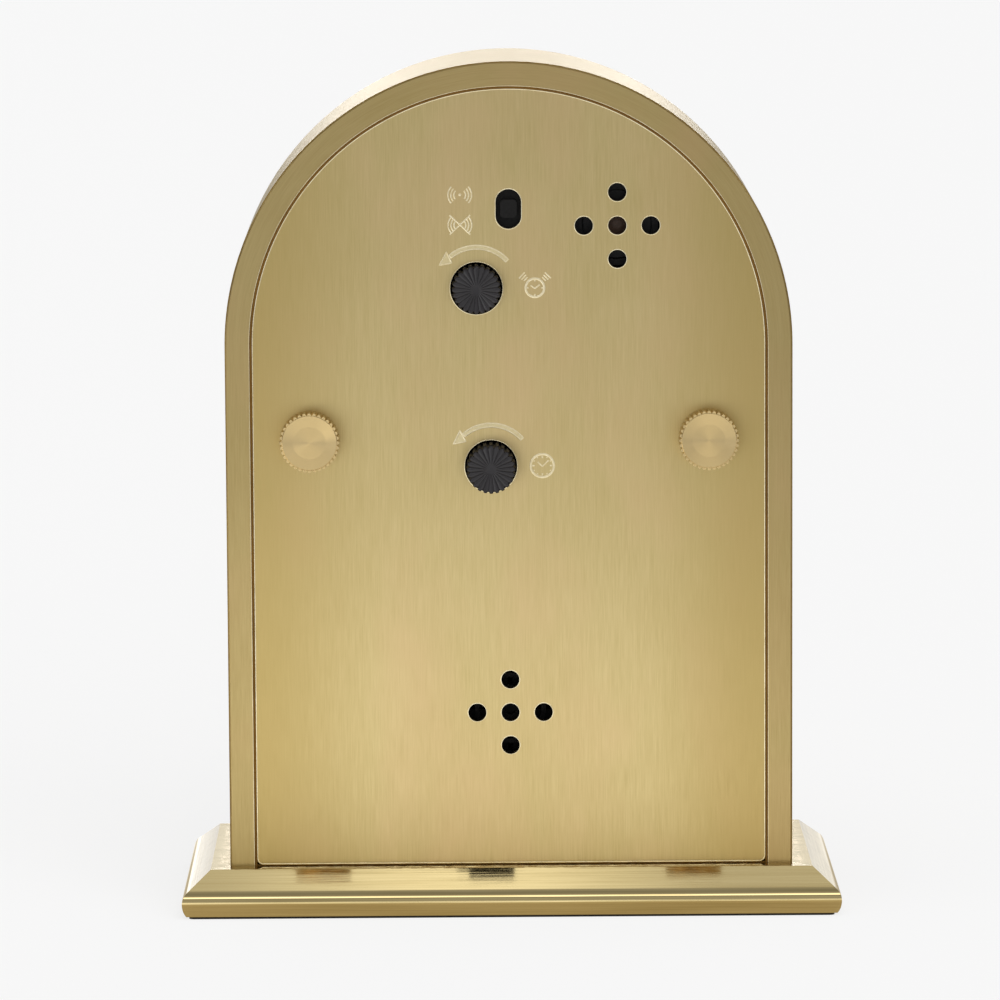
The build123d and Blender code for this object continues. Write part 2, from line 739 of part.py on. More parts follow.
def alarm_wheel():
    """The alarm wheel, whose tube carries the alarm hand."""
    wheel = gear(ALARM_TEETH, ALARM_MODULE, ALARM_TURN, HAND_AXIS)
    ends = (ALARM_HAND_Y[0], ALARM_Y[1])
    return centre_wheel_tube(wheel, ALARM_Y, ALARM_TUBE_R, ALARM_BORE, *ends)


def hour_wheel():
    """The hour wheel, whose tube carries the hour hand."""
    wheel = gear(HOUR_TEETH, HOUR_MODULE, HOUR_TURN, HAND_AXIS)
    ends = (HOUR_HAND_Y[0], HOUR_Y[1])
    return centre_wheel_tube(wheel, HOUR_Y, HOUR_TUBE_R, HOUR_BORE, *ends)


def cannon_pinion():
    """The cannon pinion, whose tube carries the minute hand."""
    wheel = gear(CANNON_TEETH, TIME_MODULE, CANNON_TURN, HAND_AXIS)
    ends = (MINUTE_HAND_Y[0], CANNON_END)
    return centre_wheel_tube(wheel, MOTION_Y, CANNON_R, CANNON_BORE, *ends)


def motion_wheel():
    """The motion wheel and pinion that gear the minute hand down to the hour hand."""
    body = rod(MOTION_AXIS, MOTION_ARBOR_R, MOVE_INNER_FRONT + PIVOT_END_GAP, MOTION_Y[1])
    body += rod(MOTION_AXIS, PIVOT_R, pivot_front(), MOVE_INNER_FRONT + PIVOT_END_GAP)
    body += rod(MOTION_AXIS, PIVOT_R, MOTION_Y[1], MID_PLATE_Y[1])
    body += slab(gear(MOTION_TEETH, TIME_MODULE, MOTION_TURN, MOTION_AXIS), *MOTION_Y)
    pinion = gear(MOTION_PINION_TEETH, HOUR_MODULE, MOTION_PINION_TURN, MOTION_AXIS)
    return body + slab(pinion, HOUR_Y[0], MOTION_Y[0])


# Running train

def centre_wheel():
    """The centre wheel, which runs on the cannon's tube behind the friction clutch."""
    wheel = gear(CENTRE_TEETH, CENTRE_MODULE, CENTRE_TURN, HAND_AXIS)
    return slab(wheel - Pos(*HAND_AXIS) * Circle(CANNON_R + FIT), *CENTRE_Y)


def third_wheel():
    """The third wheel and pinion between the second wheel and the centre wheel."""
    body = rod(THIRD_AXIS, PIVOT_R, MID_PLATE_Y[0], REAR_PLATE_Y[1])
    body += slab(gear(THIRD_TEETH, THIRD_MODULE, THIRD_TURN, THIRD_AXIS), *THIRD_Y)
    pinion = gear(THIRD_PINION_TEETH, CENTRE_MODULE, THIRD_PINION_TURN, THIRD_AXIS)
    return body + slab(pinion, CENTRE_Y[0], THIRD_Y[0])


def second_wheel():
    """The second wheel, its pinion and the long arbor that carries the second hand."""
    body = rod(HAND_AXIS, SECOND_ARBOR_R, SECOND_HAND_Y[0], REAR_PLATE_Y[1])
    body += slab(gear(SECOND_TEETH, SECOND_MODULE, SECOND_TURN, HAND_AXIS), *SECOND_Y)
    pinion = gear(SECOND_PINION_TEETH, THIRD_MODULE, SECOND_PINION_TURN, HAND_AXIS)
    return body + slab(pinion, PINION_FRONT, SECOND_Y[0])


def fifth_wheel():
    """The fifth wheel and pinion between the rotor and the second wheel."""
    body = rod(FIFTH_AXIS, PIVOT_R, MID_PLATE_Y[0], REAR_PLATE_Y[1])
    body += slab(gear(FIFTH_TEETH, FIFTH_MODULE, FIFTH_TURN, FIFTH_AXIS), *FIFTH_Y)
    pinion = gear(FIFTH_PINION_TEETH, SECOND_MODULE, FIFTH_PINION_TURN, FIFTH_AXIS)
    return body + slab(pinion, SECOND_Y[0], FIFTH_Y[0])


def rotor():
    """The stepping motor's rotor: magnet and pinion on one arbor."""
    body = rod(ROTOR_AXIS, PIVOT_R, MID_PLATE_Y[0], REAR_PLATE_Y[1])
    body += rod(ROTOR_AXIS, MAGNET_R, *MAGNET_Y)
    pinion = gear(ROTOR_PINION_TEETH, FIFTH_MODULE, ROTOR_TURN, ROTOR_AXIS)
    return body + slab(pinion, FIFTH_Y[0], FIFTH_Y[1])


def train_outline():
    """The outline that both train plates share."""
    half = TRAIN_PLATE_W / 2
    low = BASE_TOP + TRAIN_PLATE_LOW_UP
    top = BASE_TOP + TRAIN_PLATE_TOP_UP
    return rounded(-half, half, low, top, TRAIN_PLATE_CORNER_R)


def pillar_places():
    """Where the four pillars stand."""
    return mirrored(PILLAR_X, (BASE_TOP + PILLAR_LOW_UP, BASE_TOP + PILLAR_TOP_UP))


def train_plate(plate_y, holes):
    """A train plate bored for its pivots, pillars and the alarm arbor."""
    plate = train_outline()
    for centre, radius in holes:
        plate -= Pos(*centre) * Circle(radius)
    for place in pillar_places():
        plate -= Pos(*place) * Circle(PILLAR_SPIGOT_R + SCREW_GAP)
    plate -= Pos(*ALARM_AXIS) * Circle(ARBOR_R + FIT)
    return slab(plate, *plate_y)


def train_front_plate():
    """The plate between the motion work and the running train."""
    pivots = [(axis, PIVOT_R + PIVOT_FIT) for axis in (THIRD_AXIS, FIFTH_AXIS, ROTOR_AXIS)]
    pivots += [(MOTION_AXIS, PIVOT_R + PIVOT_FIT), (HAND_AXIS, CANNON_R + FIT)]
    return train_plate(MID_PLATE_Y, pivots)


def train_rear_plate():
    """The plate that holds the rear pivots."""
    pivots = [(axis, PIVOT_R + PIVOT_FIT) for axis in (THIRD_AXIS, FIFTH_AXIS, ROTOR_AXIS)]
    pivots += [(HAND_AXIS, SECOND_ARBOR_R + PIVOT_FIT)]
    return train_plate(REAR_PLATE_Y, pivots)


def train_pillars():
    """Four shouldered pillars that space the train plates from the front plate."""
    pillars = []
    for place in pillar_places():
        pillar = rod(place, PILLAR_R, MOVE_INNER_FRONT, MID_PLATE_Y[0])
        pillar += rod(place, PILLAR_SPIGOT_R, *MID_PLATE_Y)
        pillar += rod(place, PILLAR_R, MID_PLATE_Y[1], REAR_PLATE_Y[0])
        pillars.append(pillar + rod(place, PILLAR_SPIGOT_R, *REAR_PLATE_Y))
    return pillars


def stator():
    """The stator: a pole plate round the rotor and a frame that carries the coil."""
    x, z = ROTOR_AXIS
    half = STATOR_STRIP_W / 2
    low = BASE_TOP + COIL_LOW_UP
    top = BASE_TOP + COIL_TOP_UP
    middle = ((STATOR_STRIP_X + COIL_X) / 2, (low + top) / 2)
    frame = Pos(*middle) * (
        Rectangle(COIL_X - STATOR_STRIP_X + 2 * half, top - low)
        - Rectangle(COIL_X - STATOR_STRIP_X - 2 * half, top - low - 4 * half)
    )
    neck = Pos((x + STATOR_STRIP_X) / 2, z) * Rectangle(STATOR_STRIP_X - x, 2 * STATOR_POLE_R)
    plate = frame + neck + Pos(x, z) * Circle(STATOR_POLE_R)
    return slab(plate - Pos(x, z) * Circle(STATOR_HOLE_R), *STATOR_Y)


def coil():
    """The coil's bobbin and winding round the stator's leg."""
    half = STATOR_STRIP_W / 2
    low = BASE_TOP + COIL_LOW_UP + 2 * half + COIL_GAP
    top = BASE_TOP + COIL_TOP_UP - 2 * half - COIL_GAP
    y = (STATOR_Y[0] + STATOR_Y[1]) / 2
    body = post(COIL_X, y, COIL_R, low, top)
    body += post(COIL_X, y, COIL_CHEEK_R, low, low + COIL_CHEEK_T)
    body += post(COIL_X, y, COIL_CHEEK_R, top - COIL_CHEEK_T, top)
    leg_x = half + COIL_GAP
    leg_y = STATOR_T / 2 + COIL_GAP
    return body - block(COIL_X - leg_x, COIL_X + leg_x, y - leg_y, y + leg_y, low, top)


# Movement housing

def move_outline(inset=0.0):
    """The movement's outline, drawn in by an inset."""
    half = MOVE_W / 2 - inset
    low = BASE_TOP + MOVE_BOTTOM_UP + inset
    top = BASE_TOP + MOVE_TOP_UP - inset
    return rounded(-half, half, low, top, SHELL_CORNER_R - inset)


def move_screw_places():
    """The four corner bosses of the movement."""
    low = BASE_TOP + MOVE_BOTTOM_UP + BOSS_INSET
    top = BASE_TOP + MOVE_TOP_UP - BOSS_INSET
    return mirrored(MOVE_W / 2 - BOSS_INSET, (low, top))


def movement_front_plate():
    """The movement's front plate, bored for the bush and the front pivots."""
    plate = slab(move_outline(), MOVE_FRONT, MOVE_INNER_FRONT)
    plate -= rod(HAND_AXIS, BUSH_R + SCREW_GAP, MOVE_FRONT, MOVE_INNER_FRONT)
    pivot_end = pivot_front() - PIVOT_END_GAP
    for centre in (TIME_AXIS, ALARM_AXIS, MOTION_AXIS):
        plate -= rod(centre, PIVOT_R + PIVOT_FIT, pivot_end, MOVE_INNER_FRONT)
    return plate


def movement_rear_case():
    """The movement's box: four walls, a rear wall and screw bosses in its corners."""
    case = slab(move_outline(), MOVE_INNER_FRONT, MOVE_REAR_Y)
    case -= slab(move_outline(SHELL_T), MOVE_INNER_FRONT, MOVE_INNER_REAR)
    for place in move_screw_places():
        case += rod(place, BOSS_R, MOVE_INNER_FRONT, MOVE_INNER_REAR)
        depth = MOVE_SCREW_L + SCREW_GAP
        case -= rod(place, MOVE_SCREW_R + SCREW_GAP, MOVE_REAR_Y - depth, MOVE_REAR_Y)
    for place in mirrored(BOARD_BOSS_X, (BASE_TOP + BOARD_BOSS_UP,)):
        case += rod(place, BOSS_R, BOARD_Y + BOARD_T, MOVE_INNER_REAR)
    for centre in (TIME_AXIS, ALARM_AXIS):
        case -= rod(centre, ARBOR_R + FIT, MOVE_INNER_REAR, MOVE_REAR_Y)
    slot_h = SLIDER_H + 2 * (SLIDER_TRAVEL + SLIDER_GAP)
    slot = Pos(*SWITCH_AT) * Rectangle(SLIDER_W + 2 * SLIDER_GAP, slot_h)
    return case - slab(slot, MOVE_INNER_REAR, MOVE_REAR_Y)


def cap_screws(places, radius, head_radius, head_h, head_y, end_y):
    """Round-headed screws along Y whose heads face the back."""
    return [
        rod(place, head_radius, head_y, head_y + head_h) + rod(place, radius, end_y, head_y)
        for place in places
    ]


def movement_screws():
    """Four screws through the rear wall into the corner bosses."""
    sizes = (MOVE_SCREW_R, SMALL_HEAD_R, SMALL_HEAD_H)
    ends = (MOVE_REAR_Y, MOVE_REAR_Y - MOVE_SCREW_L)
    return cap_screws(move_screw_places(), *sizes, *ends)


def shaft_bush():
    """The threaded bush that carries the hand tubes and clamps the dial."""
    bush = rod(HAND_AXIS, BUSH_R, BUSH_FRONT, MOVE_INNER_FRONT)
    bush += rod(HAND_AXIS, BUSH_FLANGE_R, *level(MOVE_INNER_FRONT, BUSH_FLANGE_T))
    return bush - rod(HAND_AXIS, BUSH_BORE, BUSH_FRONT, MOVE_INNER_FRONT + BUSH_FLANGE_T)


def bush_washer():
    """The washer between the dial and the nut."""
    return tube(HAND_AXIS, WASHER_R, BUSH_R + SCREW_GAP, DIAL_FRONT - WASHER_T, DIAL_FRONT)


def bush_nut():
    """The hexagon nut on the bush."""
    rear = DIAL_FRONT - WASHER_T
    hexagon = Pos(*HAND_AXIS) * RegularPolygon(NUT_FLAT / 2, 6, major_radius=False)
    bore = Pos(*HAND_AXIS) * Circle(BUSH_R + SCREW_GAP)
    return slab(hexagon - bore, rear - NUT_T, rear)


# Electronics

def circuit_board():
    """The circuit board on its two bosses."""
    half = BOARD_W / 2
    outline = rounded(-half, half, BASE_TOP + BOARD_LOW_UP, BASE_TOP + BOARD_TOP_UP, BOARD_T)
    for place in move_screw_places():
        outline -= Pos(*place) * Circle(BOSS_R + CELL_GAP)
    return slab(outline, BOARD_Y, BOARD_Y + BOARD_T)


def crystal_can():
    """The quartz crystal's can, lying on the board."""
    z = BASE_TOP + (BOARD_LOW_UP + BOARD_TOP_UP) / 2
    y = BOARD_Y - CRYSTAL_R
    can = Plane(origin=(CRYSTAL_X, y, z), z_dir=(1, 0, 0)) * Circle(CRYSTAL_R)
    return extrude(can, amount=CRYSTAL_L, dir=(1, 0, 0))


def slider_front():
    """The front face of the slider's flange, inside the movement."""
    return MOVE_INNER_REAR - SLIDER_GAP - SLIDER_FLANGE_T


def switch_body():
    """The slide switch's body between the board and the slider."""
    outline = Pos(*SWITCH_AT) * Rectangle(SWITCH_BODY_W, SWITCH_BODY_H)
    return slab(outline, BOARD_Y + BOARD_T, slider_front() - SLIDER_GAP)


def switch_slider():
    """The alarm on and off slider: inner flange, stem and finger pad in the slot."""
    stem = Pos(*SWITCH_AT) * RectangleRounded(SLIDER_W, SLIDER_H, SLIDER_CORNER_R)
    flange = Pos(*SWITCH_AT) * Rectangle(SLIDER_FLANGE_W, SLIDER_FLANGE_H)
    front = slider_front()
    body = slab(flange, front, front + SLIDER_FLANGE_T)
    return body + slab(stem, front + SLIDER_FLANGE_T, PLATE_REAR - SLIDER_SUNK)


def buzzer():
    """The buzzer's cup, open towards the vents."""
    rear = MOVE_REAR_Y + BUZZER_H
    cup = rod(BUZZER_AT, BUZZER_R, MOVE_REAR_Y, rear)
    return cup - rod(BUZZER_AT, BUZZER_R - BUZZER_WALL, rear - BUZZER_WALL, rear)


def buzzer_dome():
    """The domed disc inside the buzzer's cup, its crown a shallow cap of a sphere."""
    floor = MOVE_REAR_Y + BUZZER_H - BUZZER_WALL
    edge = BUZZER_R - BUZZER_WALL - CELL_GAP
    rim = floor + BUZZER_DISC_T
    shares = [1 - step / DOME_STEPS for step in range(DOME_STEPS + 1)]
    crown = [
        (BUZZER_DOME_R * share, rim + BUZZER_DOME_RISE * (1 - share * share))
        for share in shares
    ]
    return turned([(0, floor), (edge, floor), (edge, rim), *crown], BUZZER_AT)


# Battery

def holder_inner():
    """The half length, low Z and high Z of the battery's room in its holder."""
    half = (CELL_L + NUB_L) / 2 + HOLDER_END_ROOM
    top = BASE_TOP + MOVE_BOTTOM_UP - HOLDER_WALL
    return half, top - 2 * (CELL_R + CELL_GAP), top


def battery_holder():
    """The open trough for one AA cell, hung under the movement's box."""
    half, low, top = holder_inner()
    front = CELL_Y - CELL_R - CELL_GAP
    rear = CELL_Y + CELL_R
    outer = block(
        -half - HOLDER_WALL, half + HOLDER_WALL, front - HOLDER_WALL, rear,
        low - HOLDER_WALL, top + HOLDER_WALL,
    )
    return outer - block(-half, half, front, rear, low, top)


def cell_ends():
    """The cell's flat end, its shoulder and its nub's tip along X."""
    start = -(CELL_L + NUB_L) / 2
    return start, start + CELL_L, start + CELL_L + NUB_L


def battery_cell():
    """The AA cell with its positive nub."""
    _, low, top = holder_inner()
    flat_end, shoulder, tip = cell_ends()
    plane = Plane(origin=(flat_end, CELL_Y, (low + top) / 2), z_dir=(1, 0, 0))
    cell = extrude(plane * Circle(CELL_R), amount=shoulder - flat_end, dir=(1, 0, 0))
    return cell + extrude(plane * Circle(NUB_R), amount=tip - flat_end, dir=(1, 0, 0))


def battery_contact(side):
    """A sprung contact strip between an end wall and the cell, bowed towards the cell."""
    half, low, top = holder_inner()
    flat_end, _, tip = cell_ends()
    wall = side * half
    face = wall - side * CONTACT_T
    touch = tip if side > 0 else flat_end
    crest = touch + side * CELL_GAP / 2
    middle = (low + top) / 2
    foot = low + HOLDER_WALL
    head = top - HOLDER_WALL
    inner = [(face, foot), (crest, middle), (face, head)]
    outer = [(wall, head), (crest + side * CONTACT_T, middle), (wall, foot)]
    strip = make_face(Polyline(*inner, *outer, close=True))
    return slab(strip, CELL_Y - CONTACT_W / 2, CELL_Y + CONTACT_W / 2)


# Speaker

def box_screw_places():
    """Where the speaker box is screwed to the base."""
    x = (BOX_W + BOX_FOOT_W) / 2
    return mirrored(x, ((BOX_FRONT_Y + BOX_REAR_Y) / 2,))


def speaker_box():
    """The speaker's box on the base: open at the back, with a screwed foot each side."""
    half = BOX_W / 2
    outer = rounded(-half, half, BASE_TOP, BASE_TOP + BOX_H, BOX_CORNER_R)
    wall = BOX_WALL
    top = BASE_TOP + BOX_H
    inner = rounded(-half + wall, half - wall, BASE_TOP + wall, top - wall, BOX_INNER_R)
    box = slab(outer, BOX_FRONT_Y, BOX_REAR_Y)
    foot = half + BOX_FOOT_W
    box += block(-foot, foot, BOX_FRONT_Y, BOX_REAR_Y, BASE_TOP, BASE_TOP + BOX_FOOT_T)
    box -= slab(inner, BOX_FRONT_Y + wall, BOX_REAR_Y)
    for x, y in box_screw_places():
        box -= post(x, y, SMALL_SCREW_R + SCREW_GAP, BASE_TOP, BASE_TOP + BOX_FOOT_T)
    return box


def speaker_screws():
    """The two screws through the speaker box's feet into the base."""
    screws = []
    for x, y in box_screw_places():
        seat = BASE_TOP + BOX_FOOT_T
        screw = post(x, y, SMALL_SCREW_R, BASE_TOP - SMALL_SCREW_GRIP + SCREW_GAP, seat)
        screws.append(screw + post(x, y, SMALL_HEAD_R, seat, seat + SMALL_HEAD_H))
    return screws


def speaker_grille():
    """The black cover behind the lower vents: concentric ribs with slots between them."""
    half = BOX_W / 2
    cover = slab(
        rounded(-half, half, BASE_TOP, BASE_TOP + BOX_H, BOX_CORNER_R),
        BOX_REAR_Y, BOX_REAR_Y + GRILLE_T,
    )
    top = BOX_REAR_Y + GRILLE_T
    for rib in range(GRILLE_RIBS):
        inner = GRILLE_RIB_PITCH * rib + GRILLE_RIB_PITCH / 2
        cover += tube(SPEAKER_AT, inner + GRILLE_RIB_W, inner, top, top + GRILLE_RIB_H)
    reach = GRILLE_RIB_PITCH * (GRILLE_RIBS - 1)
    bar = Rectangle(reach - GRILLE_RIB_PITCH, GRILLE_SLOT_W)
    for number in range(GRILLE_SLOTS):
        turn = number * TURN / GRILLE_SLOTS
        middle = polar(SPEAKER_AT, reach / 2 + GRILLE_RIB_PITCH, turn)
        cover -= slab(Pos(*middle) * Rot(0, 0, turn) * bar, BOX_REAR_Y, top)
    return cover


def speaker_basket():
    """The speaker's frame and magnet in one turned piece, its flange against the grille."""
    rear = BOX_REAR_Y
    flange = rear - BASKET_FLANGE_T
    floor = flange - BASKET_D
    wall = BASKET_WALL
    rim = BASKET_R - 2 * wall
    return turned(
        (
            (0, floor - MAGNET_CUP_D),
            (MAGNET_CUP_R, floor - MAGNET_CUP_D),
            (MAGNET_CUP_R, floor - wall),
            (rim, flange - wall),
            (rim, flange),
            (BASKET_R, flange),
            (BASKET_R, rear),
            (rim - wall, rear),
            (rim - wall, flange),
            (MAGNET_CUP_R - wall, floor),
            (0, floor),
        ),
        SPEAKER_AT,
    )


def speaker_cone():
    """The paper cone and dust cap, held at the basket's rim and on the voice coil."""
    flange = BOX_REAR_Y - BASKET_FLANGE_T
    floor = flange - BASKET_D
    rim = BASKET_R - 3 * BASKET_WALL - FIT
    low = floor + CONE_GAP
    high = flange + BASKET_FLANGE_T / 2
    return turned(
        (
            (0, floor),
            (DUST_CAP_R, floor),
            (DUST_CAP_R, low + 2 * CONE_T),
            (rim, high - CONE_T),
            (rim, high),
            (DUST_CAP_R, low + 4 * CONE_T),
            (0, low + 5 * CONE_T),
        ),
        SPEAKER_AT,
    )


# Front

def bezel():
    """The turned brass bezel: flange on the case's front, spigot through the wall."""
    front = CASE_FRONT - BEZEL_PROUD
    lip = BEZEL_BORE - BEZEL_LIP_W
    flange = DIAL_HOLE_R + BEZEL_FLANGE_W
    return turned(
        (
            (lip, front + BEZEL_LIP_T),
            (lip, front + BEZEL_LIP_EDGE),
            (BEZEL_BORE, front),
            (flange - BEZEL_EDGE, front),
            (flange, front + BEZEL_EDGE),
            (flange, CASE_FRONT),
            (DIAL_HOLE_R - FIT, CASE_FRONT),
            (DIAL_HOLE_R - FIT, CASE_INNER_FRONT),
            (BEZEL_BORE, CASE_INNER_FRONT),
            (BEZEL_BORE, front + BEZEL_LIP_T),
        ),
        HAND_AXIS,
    )


def lens_front():
    """The front face of the lens, against the bezel's lip."""
    return CASE_FRONT - BEZEL_PROUD + BEZEL_LIP_T


def lens():
    """The flat glass."""
    return rod(HAND_AXIS, LENS_R, lens_front(), lens_front() + LENS_T)


def lens_gasket():
    """The ring that holds the glass against the bezel's lip."""
    front = lens_front() + LENS_T
    return tube(HAND_AXIS, LENS_R, LENS_R - GASKET_W, front, front + GASKET_T)


def dial_ring():
    """The sloped ring between the case's front wall and the dial."""
    slope = DIAL_RING_D / 2
    ring = turned(
        (
            (DIAL_VIEW_R + slope, CASE_INNER_FRONT),
            (DIAL_R, CASE_INNER_FRONT),
            (DIAL_R, DIAL_FRONT),
            (DIAL_VIEW_R, DIAL_FRONT),
        ),
        HAND_AXIS,
    )
    for place in dial_screw_places():
        ring -= rod(place, DIAL_SCREW_R + SCREW_GAP, CASE_INNER_FRONT, DIAL_FRONT)
    return ring


def dial_plate():
    """The dial."""
    plate = Pos(*HAND_AXIS) * (Circle(DIAL_R) - Circle(BUSH_R + SCREW_GAP))
    for place in dial_screw_places():
        plate -= Pos(*place) * Circle(DIAL_SCREW_R + SCREW_GAP)
    return slab(plate, DIAL_FRONT, DIAL_REAR)


def dial_screw_places():
    """Four places beside the movement, where the dial is screwed to the front wall."""
    places = []
    for side in (0, HALF_TURN):
        for turn in (side - DIAL_SCREW_TURN, side + DIAL_SCREW_TURN):
            places.append(polar(HAND_AXIS, DIAL_SCREW_RING_R, turn))
    return places


def dial_screws():
    """Four screws through the dial and its ring into the front wall."""
    sizes = (DIAL_SCREW_R, 2 * DIAL_SCREW_R, DIAL_SCREW_R)
    return cap_screws(
        dial_screw_places(), *sizes, DIAL_REAR, CASE_INNER_FRONT - DIAL_SCREW_GRIP
    )


# Hands

def hand(length, width, hub_r, hole_r, hand_y, clock_degrees, tail=0.0):
    """A tapered hand on a round hub, turned clockwise from twelve."""
    half = width / 2
    blade = make_face(
        Polyline(
            (-half * HAND_TAIL_SHARE, -tail),
            (half * HAND_TAIL_SHARE, -tail),
            (half, length * HAND_SHOULDER_SHARE),
            (0, length),
            (-half, length * HAND_SHOULDER_SHARE),
            close=True,
        )
    )
    outline = Rot(0, 0, -clock_degrees) * (blade + Circle(hub_r))
    return slab(Pos(*HAND_AXIS) * (outline - Circle(hole_r)), *hand_y)


def hour_hand():
    """The hour hand on the hour wheel's tube."""
    hub = (HOUR_TUBE_R + HAND_HUB, HOUR_TUBE_R)
    return hand(HOUR_HAND_L, HOUR_HAND_W, *hub, HOUR_HAND_Y, HOUR_HAND_DEG)


def minute_hand():
    """The minute hand on the cannon's tube."""
    hub = (CANNON_R + HAND_HUB, CANNON_R)
    return hand(MINUTE_HAND_L, MINUTE_HAND_W, *hub, MINUTE_HAND_Y, MINUTE_HAND_DEG)


def alarm_hand():
    """The alarm hand on the alarm wheel's tube."""
    hub = (ALARM_TUBE_R + HAND_HUB, ALARM_TUBE_R)
    return hand(ALARM_HAND_L, ALARM_HAND_W, *hub, ALARM_HAND_Y, ALARM_HAND_DEG)


def second_hand():
    """The second hand on the second wheel's arbor, with a counterweight tail."""
    hub = (SECOND_ARBOR_R + HAND_HUB, SECOND_ARBOR_R)
    size = (SECOND_HAND_L, SECOND_HAND_W)
    return hand(*size, *hub, SECOND_HAND_Y, SECOND_HAND_DEG, SECOND_TAIL_L)


PIECES = {
    "base_plinth": base_plinth,
    "base_felt": base_felt,
    "case_screws": case_screws,
    "case_shell": case_shell,
    "screw_block_left": lambda: screw_block(-1),
    "screw_block_right": lambda: screw_block(1),
    "back_plate": back_plate,
    "thumb_screw_left": lambda: thumb_screw(-1),
    "thumb_screw_right": lambda: thumb_screw(1),
    "captive_ring_left": lambda: captive_ring(-1),
    "captive_ring_right": lambda: captive_ring(1),
    "time_set_knob": lambda: knob(TIME_AXIS, TIME_KNOB_PROUD),
    "time_set_arbor": time_set_arbor,
    "alarm_set_knob": lambda: knob(ALARM_AXIS, ALARM_KNOB_PROUD),
    "alarm_set_arbor": alarm_set_arbor,
    "alarm_wheel": alarm_wheel,
    "hour_wheel": hour_wheel,
    "cannon_pinion": cannon_pinion,
    "motion_wheel": motion_wheel,
    "centre_wheel": centre_wheel,
    "third_wheel": third_wheel,
    "second_wheel": second_wheel,
    "fifth_wheel": fifth_wheel,
    "motor_rotor": rotor,
    "motor_stator": stator,
    "motor_coil": coil,
    "train_front_plate": train_front_plate,
    "train_rear_plate": train_rear_plate,
    "train_pillars": train_pillars,
    "movement_front_plate": movement_front_plate,
    "movement_rear_case": movement_rear_case,
    "movement_screws": movement_screws,
    "shaft_bush": shaft_bush,
    "bush_washer": bush_washer,
    "bush_nut": bush_nut,
    "circuit_board": circuit_board,
    "crystal_can": crystal_can,
    "switch_body": switch_body,
    "switch_slider": switch_slider,
    "buzzer": buzzer,
    "buzzer_dome": buzzer_dome,
    "battery_holder": battery_holder,
    "battery_cell": battery_cell,
    "battery_contact_negative": lambda: battery_contact(-1),
    "battery_contact_positive": lambda: battery_contact(1),
    "speaker_box": speaker_box,
    "speaker_screws": speaker_screws,
    "speaker_grille": speaker_grille,
    "speaker_basket": speaker_basket,
    "speaker_cone": speaker_cone,
    "bezel": bezel,
    "lens": lens,
    "lens_gasket": lens_gasket,
    "dial_ring": dial_ring,
    "dial_plate": dial_plate,
    "dial_screws": dial_screws,
    "hour_hand": hour_hand,
    "minute_hand": minute_hand,
    "alarm_hand": alarm_hand,
    "second_hand": second_hand,
}


def main():
    """Builds every piece and writes one STEP file for each."""
    os.makedirs("parts", exist_ok=True)
    for name, build in PIECES.items():
        shape = build()
        if isinstance(shape, list):
            shape = Compound(children=shape)
        export_step(shape, f"parts/{name}.step")


main()
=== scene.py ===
"""Looks of a brass mantel alarm clock seen from its back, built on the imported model."""

import math

import bmesh
import bpy
import numpy as np
from bpy.props import FloatProperty, FloatVectorProperty, PointerProperty
from mathutils import Matrix, Vector


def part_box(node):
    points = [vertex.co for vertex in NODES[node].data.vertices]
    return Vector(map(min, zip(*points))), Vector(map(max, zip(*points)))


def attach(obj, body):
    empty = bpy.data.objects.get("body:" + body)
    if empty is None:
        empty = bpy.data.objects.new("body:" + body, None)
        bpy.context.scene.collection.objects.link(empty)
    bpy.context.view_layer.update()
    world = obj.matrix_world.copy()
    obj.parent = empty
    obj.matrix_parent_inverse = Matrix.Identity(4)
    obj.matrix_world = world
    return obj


bl_info = {
    "name": "Brass mantel alarm clock",
    "version": (1, 0, 0),
    "blender": (4, 5, 0),
    "location": "3D View > Sidebar > Clock",
    "description": "Finishes and fine detail of a brass mantel alarm clock",
    "category": "Object",
}

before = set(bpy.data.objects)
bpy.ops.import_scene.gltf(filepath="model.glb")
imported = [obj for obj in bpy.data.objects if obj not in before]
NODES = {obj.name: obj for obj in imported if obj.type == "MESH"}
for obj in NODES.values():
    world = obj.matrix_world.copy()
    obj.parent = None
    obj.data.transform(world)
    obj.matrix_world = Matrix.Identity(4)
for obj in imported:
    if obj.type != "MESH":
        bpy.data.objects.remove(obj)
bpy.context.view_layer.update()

MM = 0.001
TURN = 2 * math.pi
EVERY = slice(None)

PLATE_LOW, PLATE_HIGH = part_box("back_plate")
PLATE_Y = PLATE_HIGH.y
PLATE_HALF = PLATE_HIGH.x
PLATE_THICK = PLATE_HIGH.y - PLATE_LOW.y
ARCH_Z = PLATE_HIGH.z - PLATE_HALF
DIAL_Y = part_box("dial_plate")[0].y
BASE_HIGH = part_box("base_plinth")[1]
CASE_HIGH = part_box("case_shell")[1]

# Places on the back plate, in millimetres right of its middle as seen and above the base.
SOUND_ON = (-9.16, 129.95)
SOUND_OFF = (-9.16, 124.2)
RINGING_CLOCK = (5.1, 112.05)
PLAIN_CLOCK = (6.35, 77.75)
VENTS = ((20.9, 123.9), (0.0, 29.8))
SLOT = (0.1, 127.2)

# The signs' shapes in millimetres. The dot's profile is given as radius and height, each corner
# of an arrow's head as its step off the arc and its turn in degrees short of the arc's end, each
# stroke of a bell as its distance from the sign's middle and half its length, and the cross as
# half its width and half its height.
DOT = ((0, 0.03), (0.2, 0.025), (0.26, 0), (0.26, -0.05), (0, -0.05))
ARROW_HEAD = ((1.15, 0.0), (0.45, 18.5), (-1.15, 4.5))
BELL_STROKES = ((2.45, 0.5), (2.95, 0.65), (3.45, 0.8))
CROSS = (1.95, 1.85)
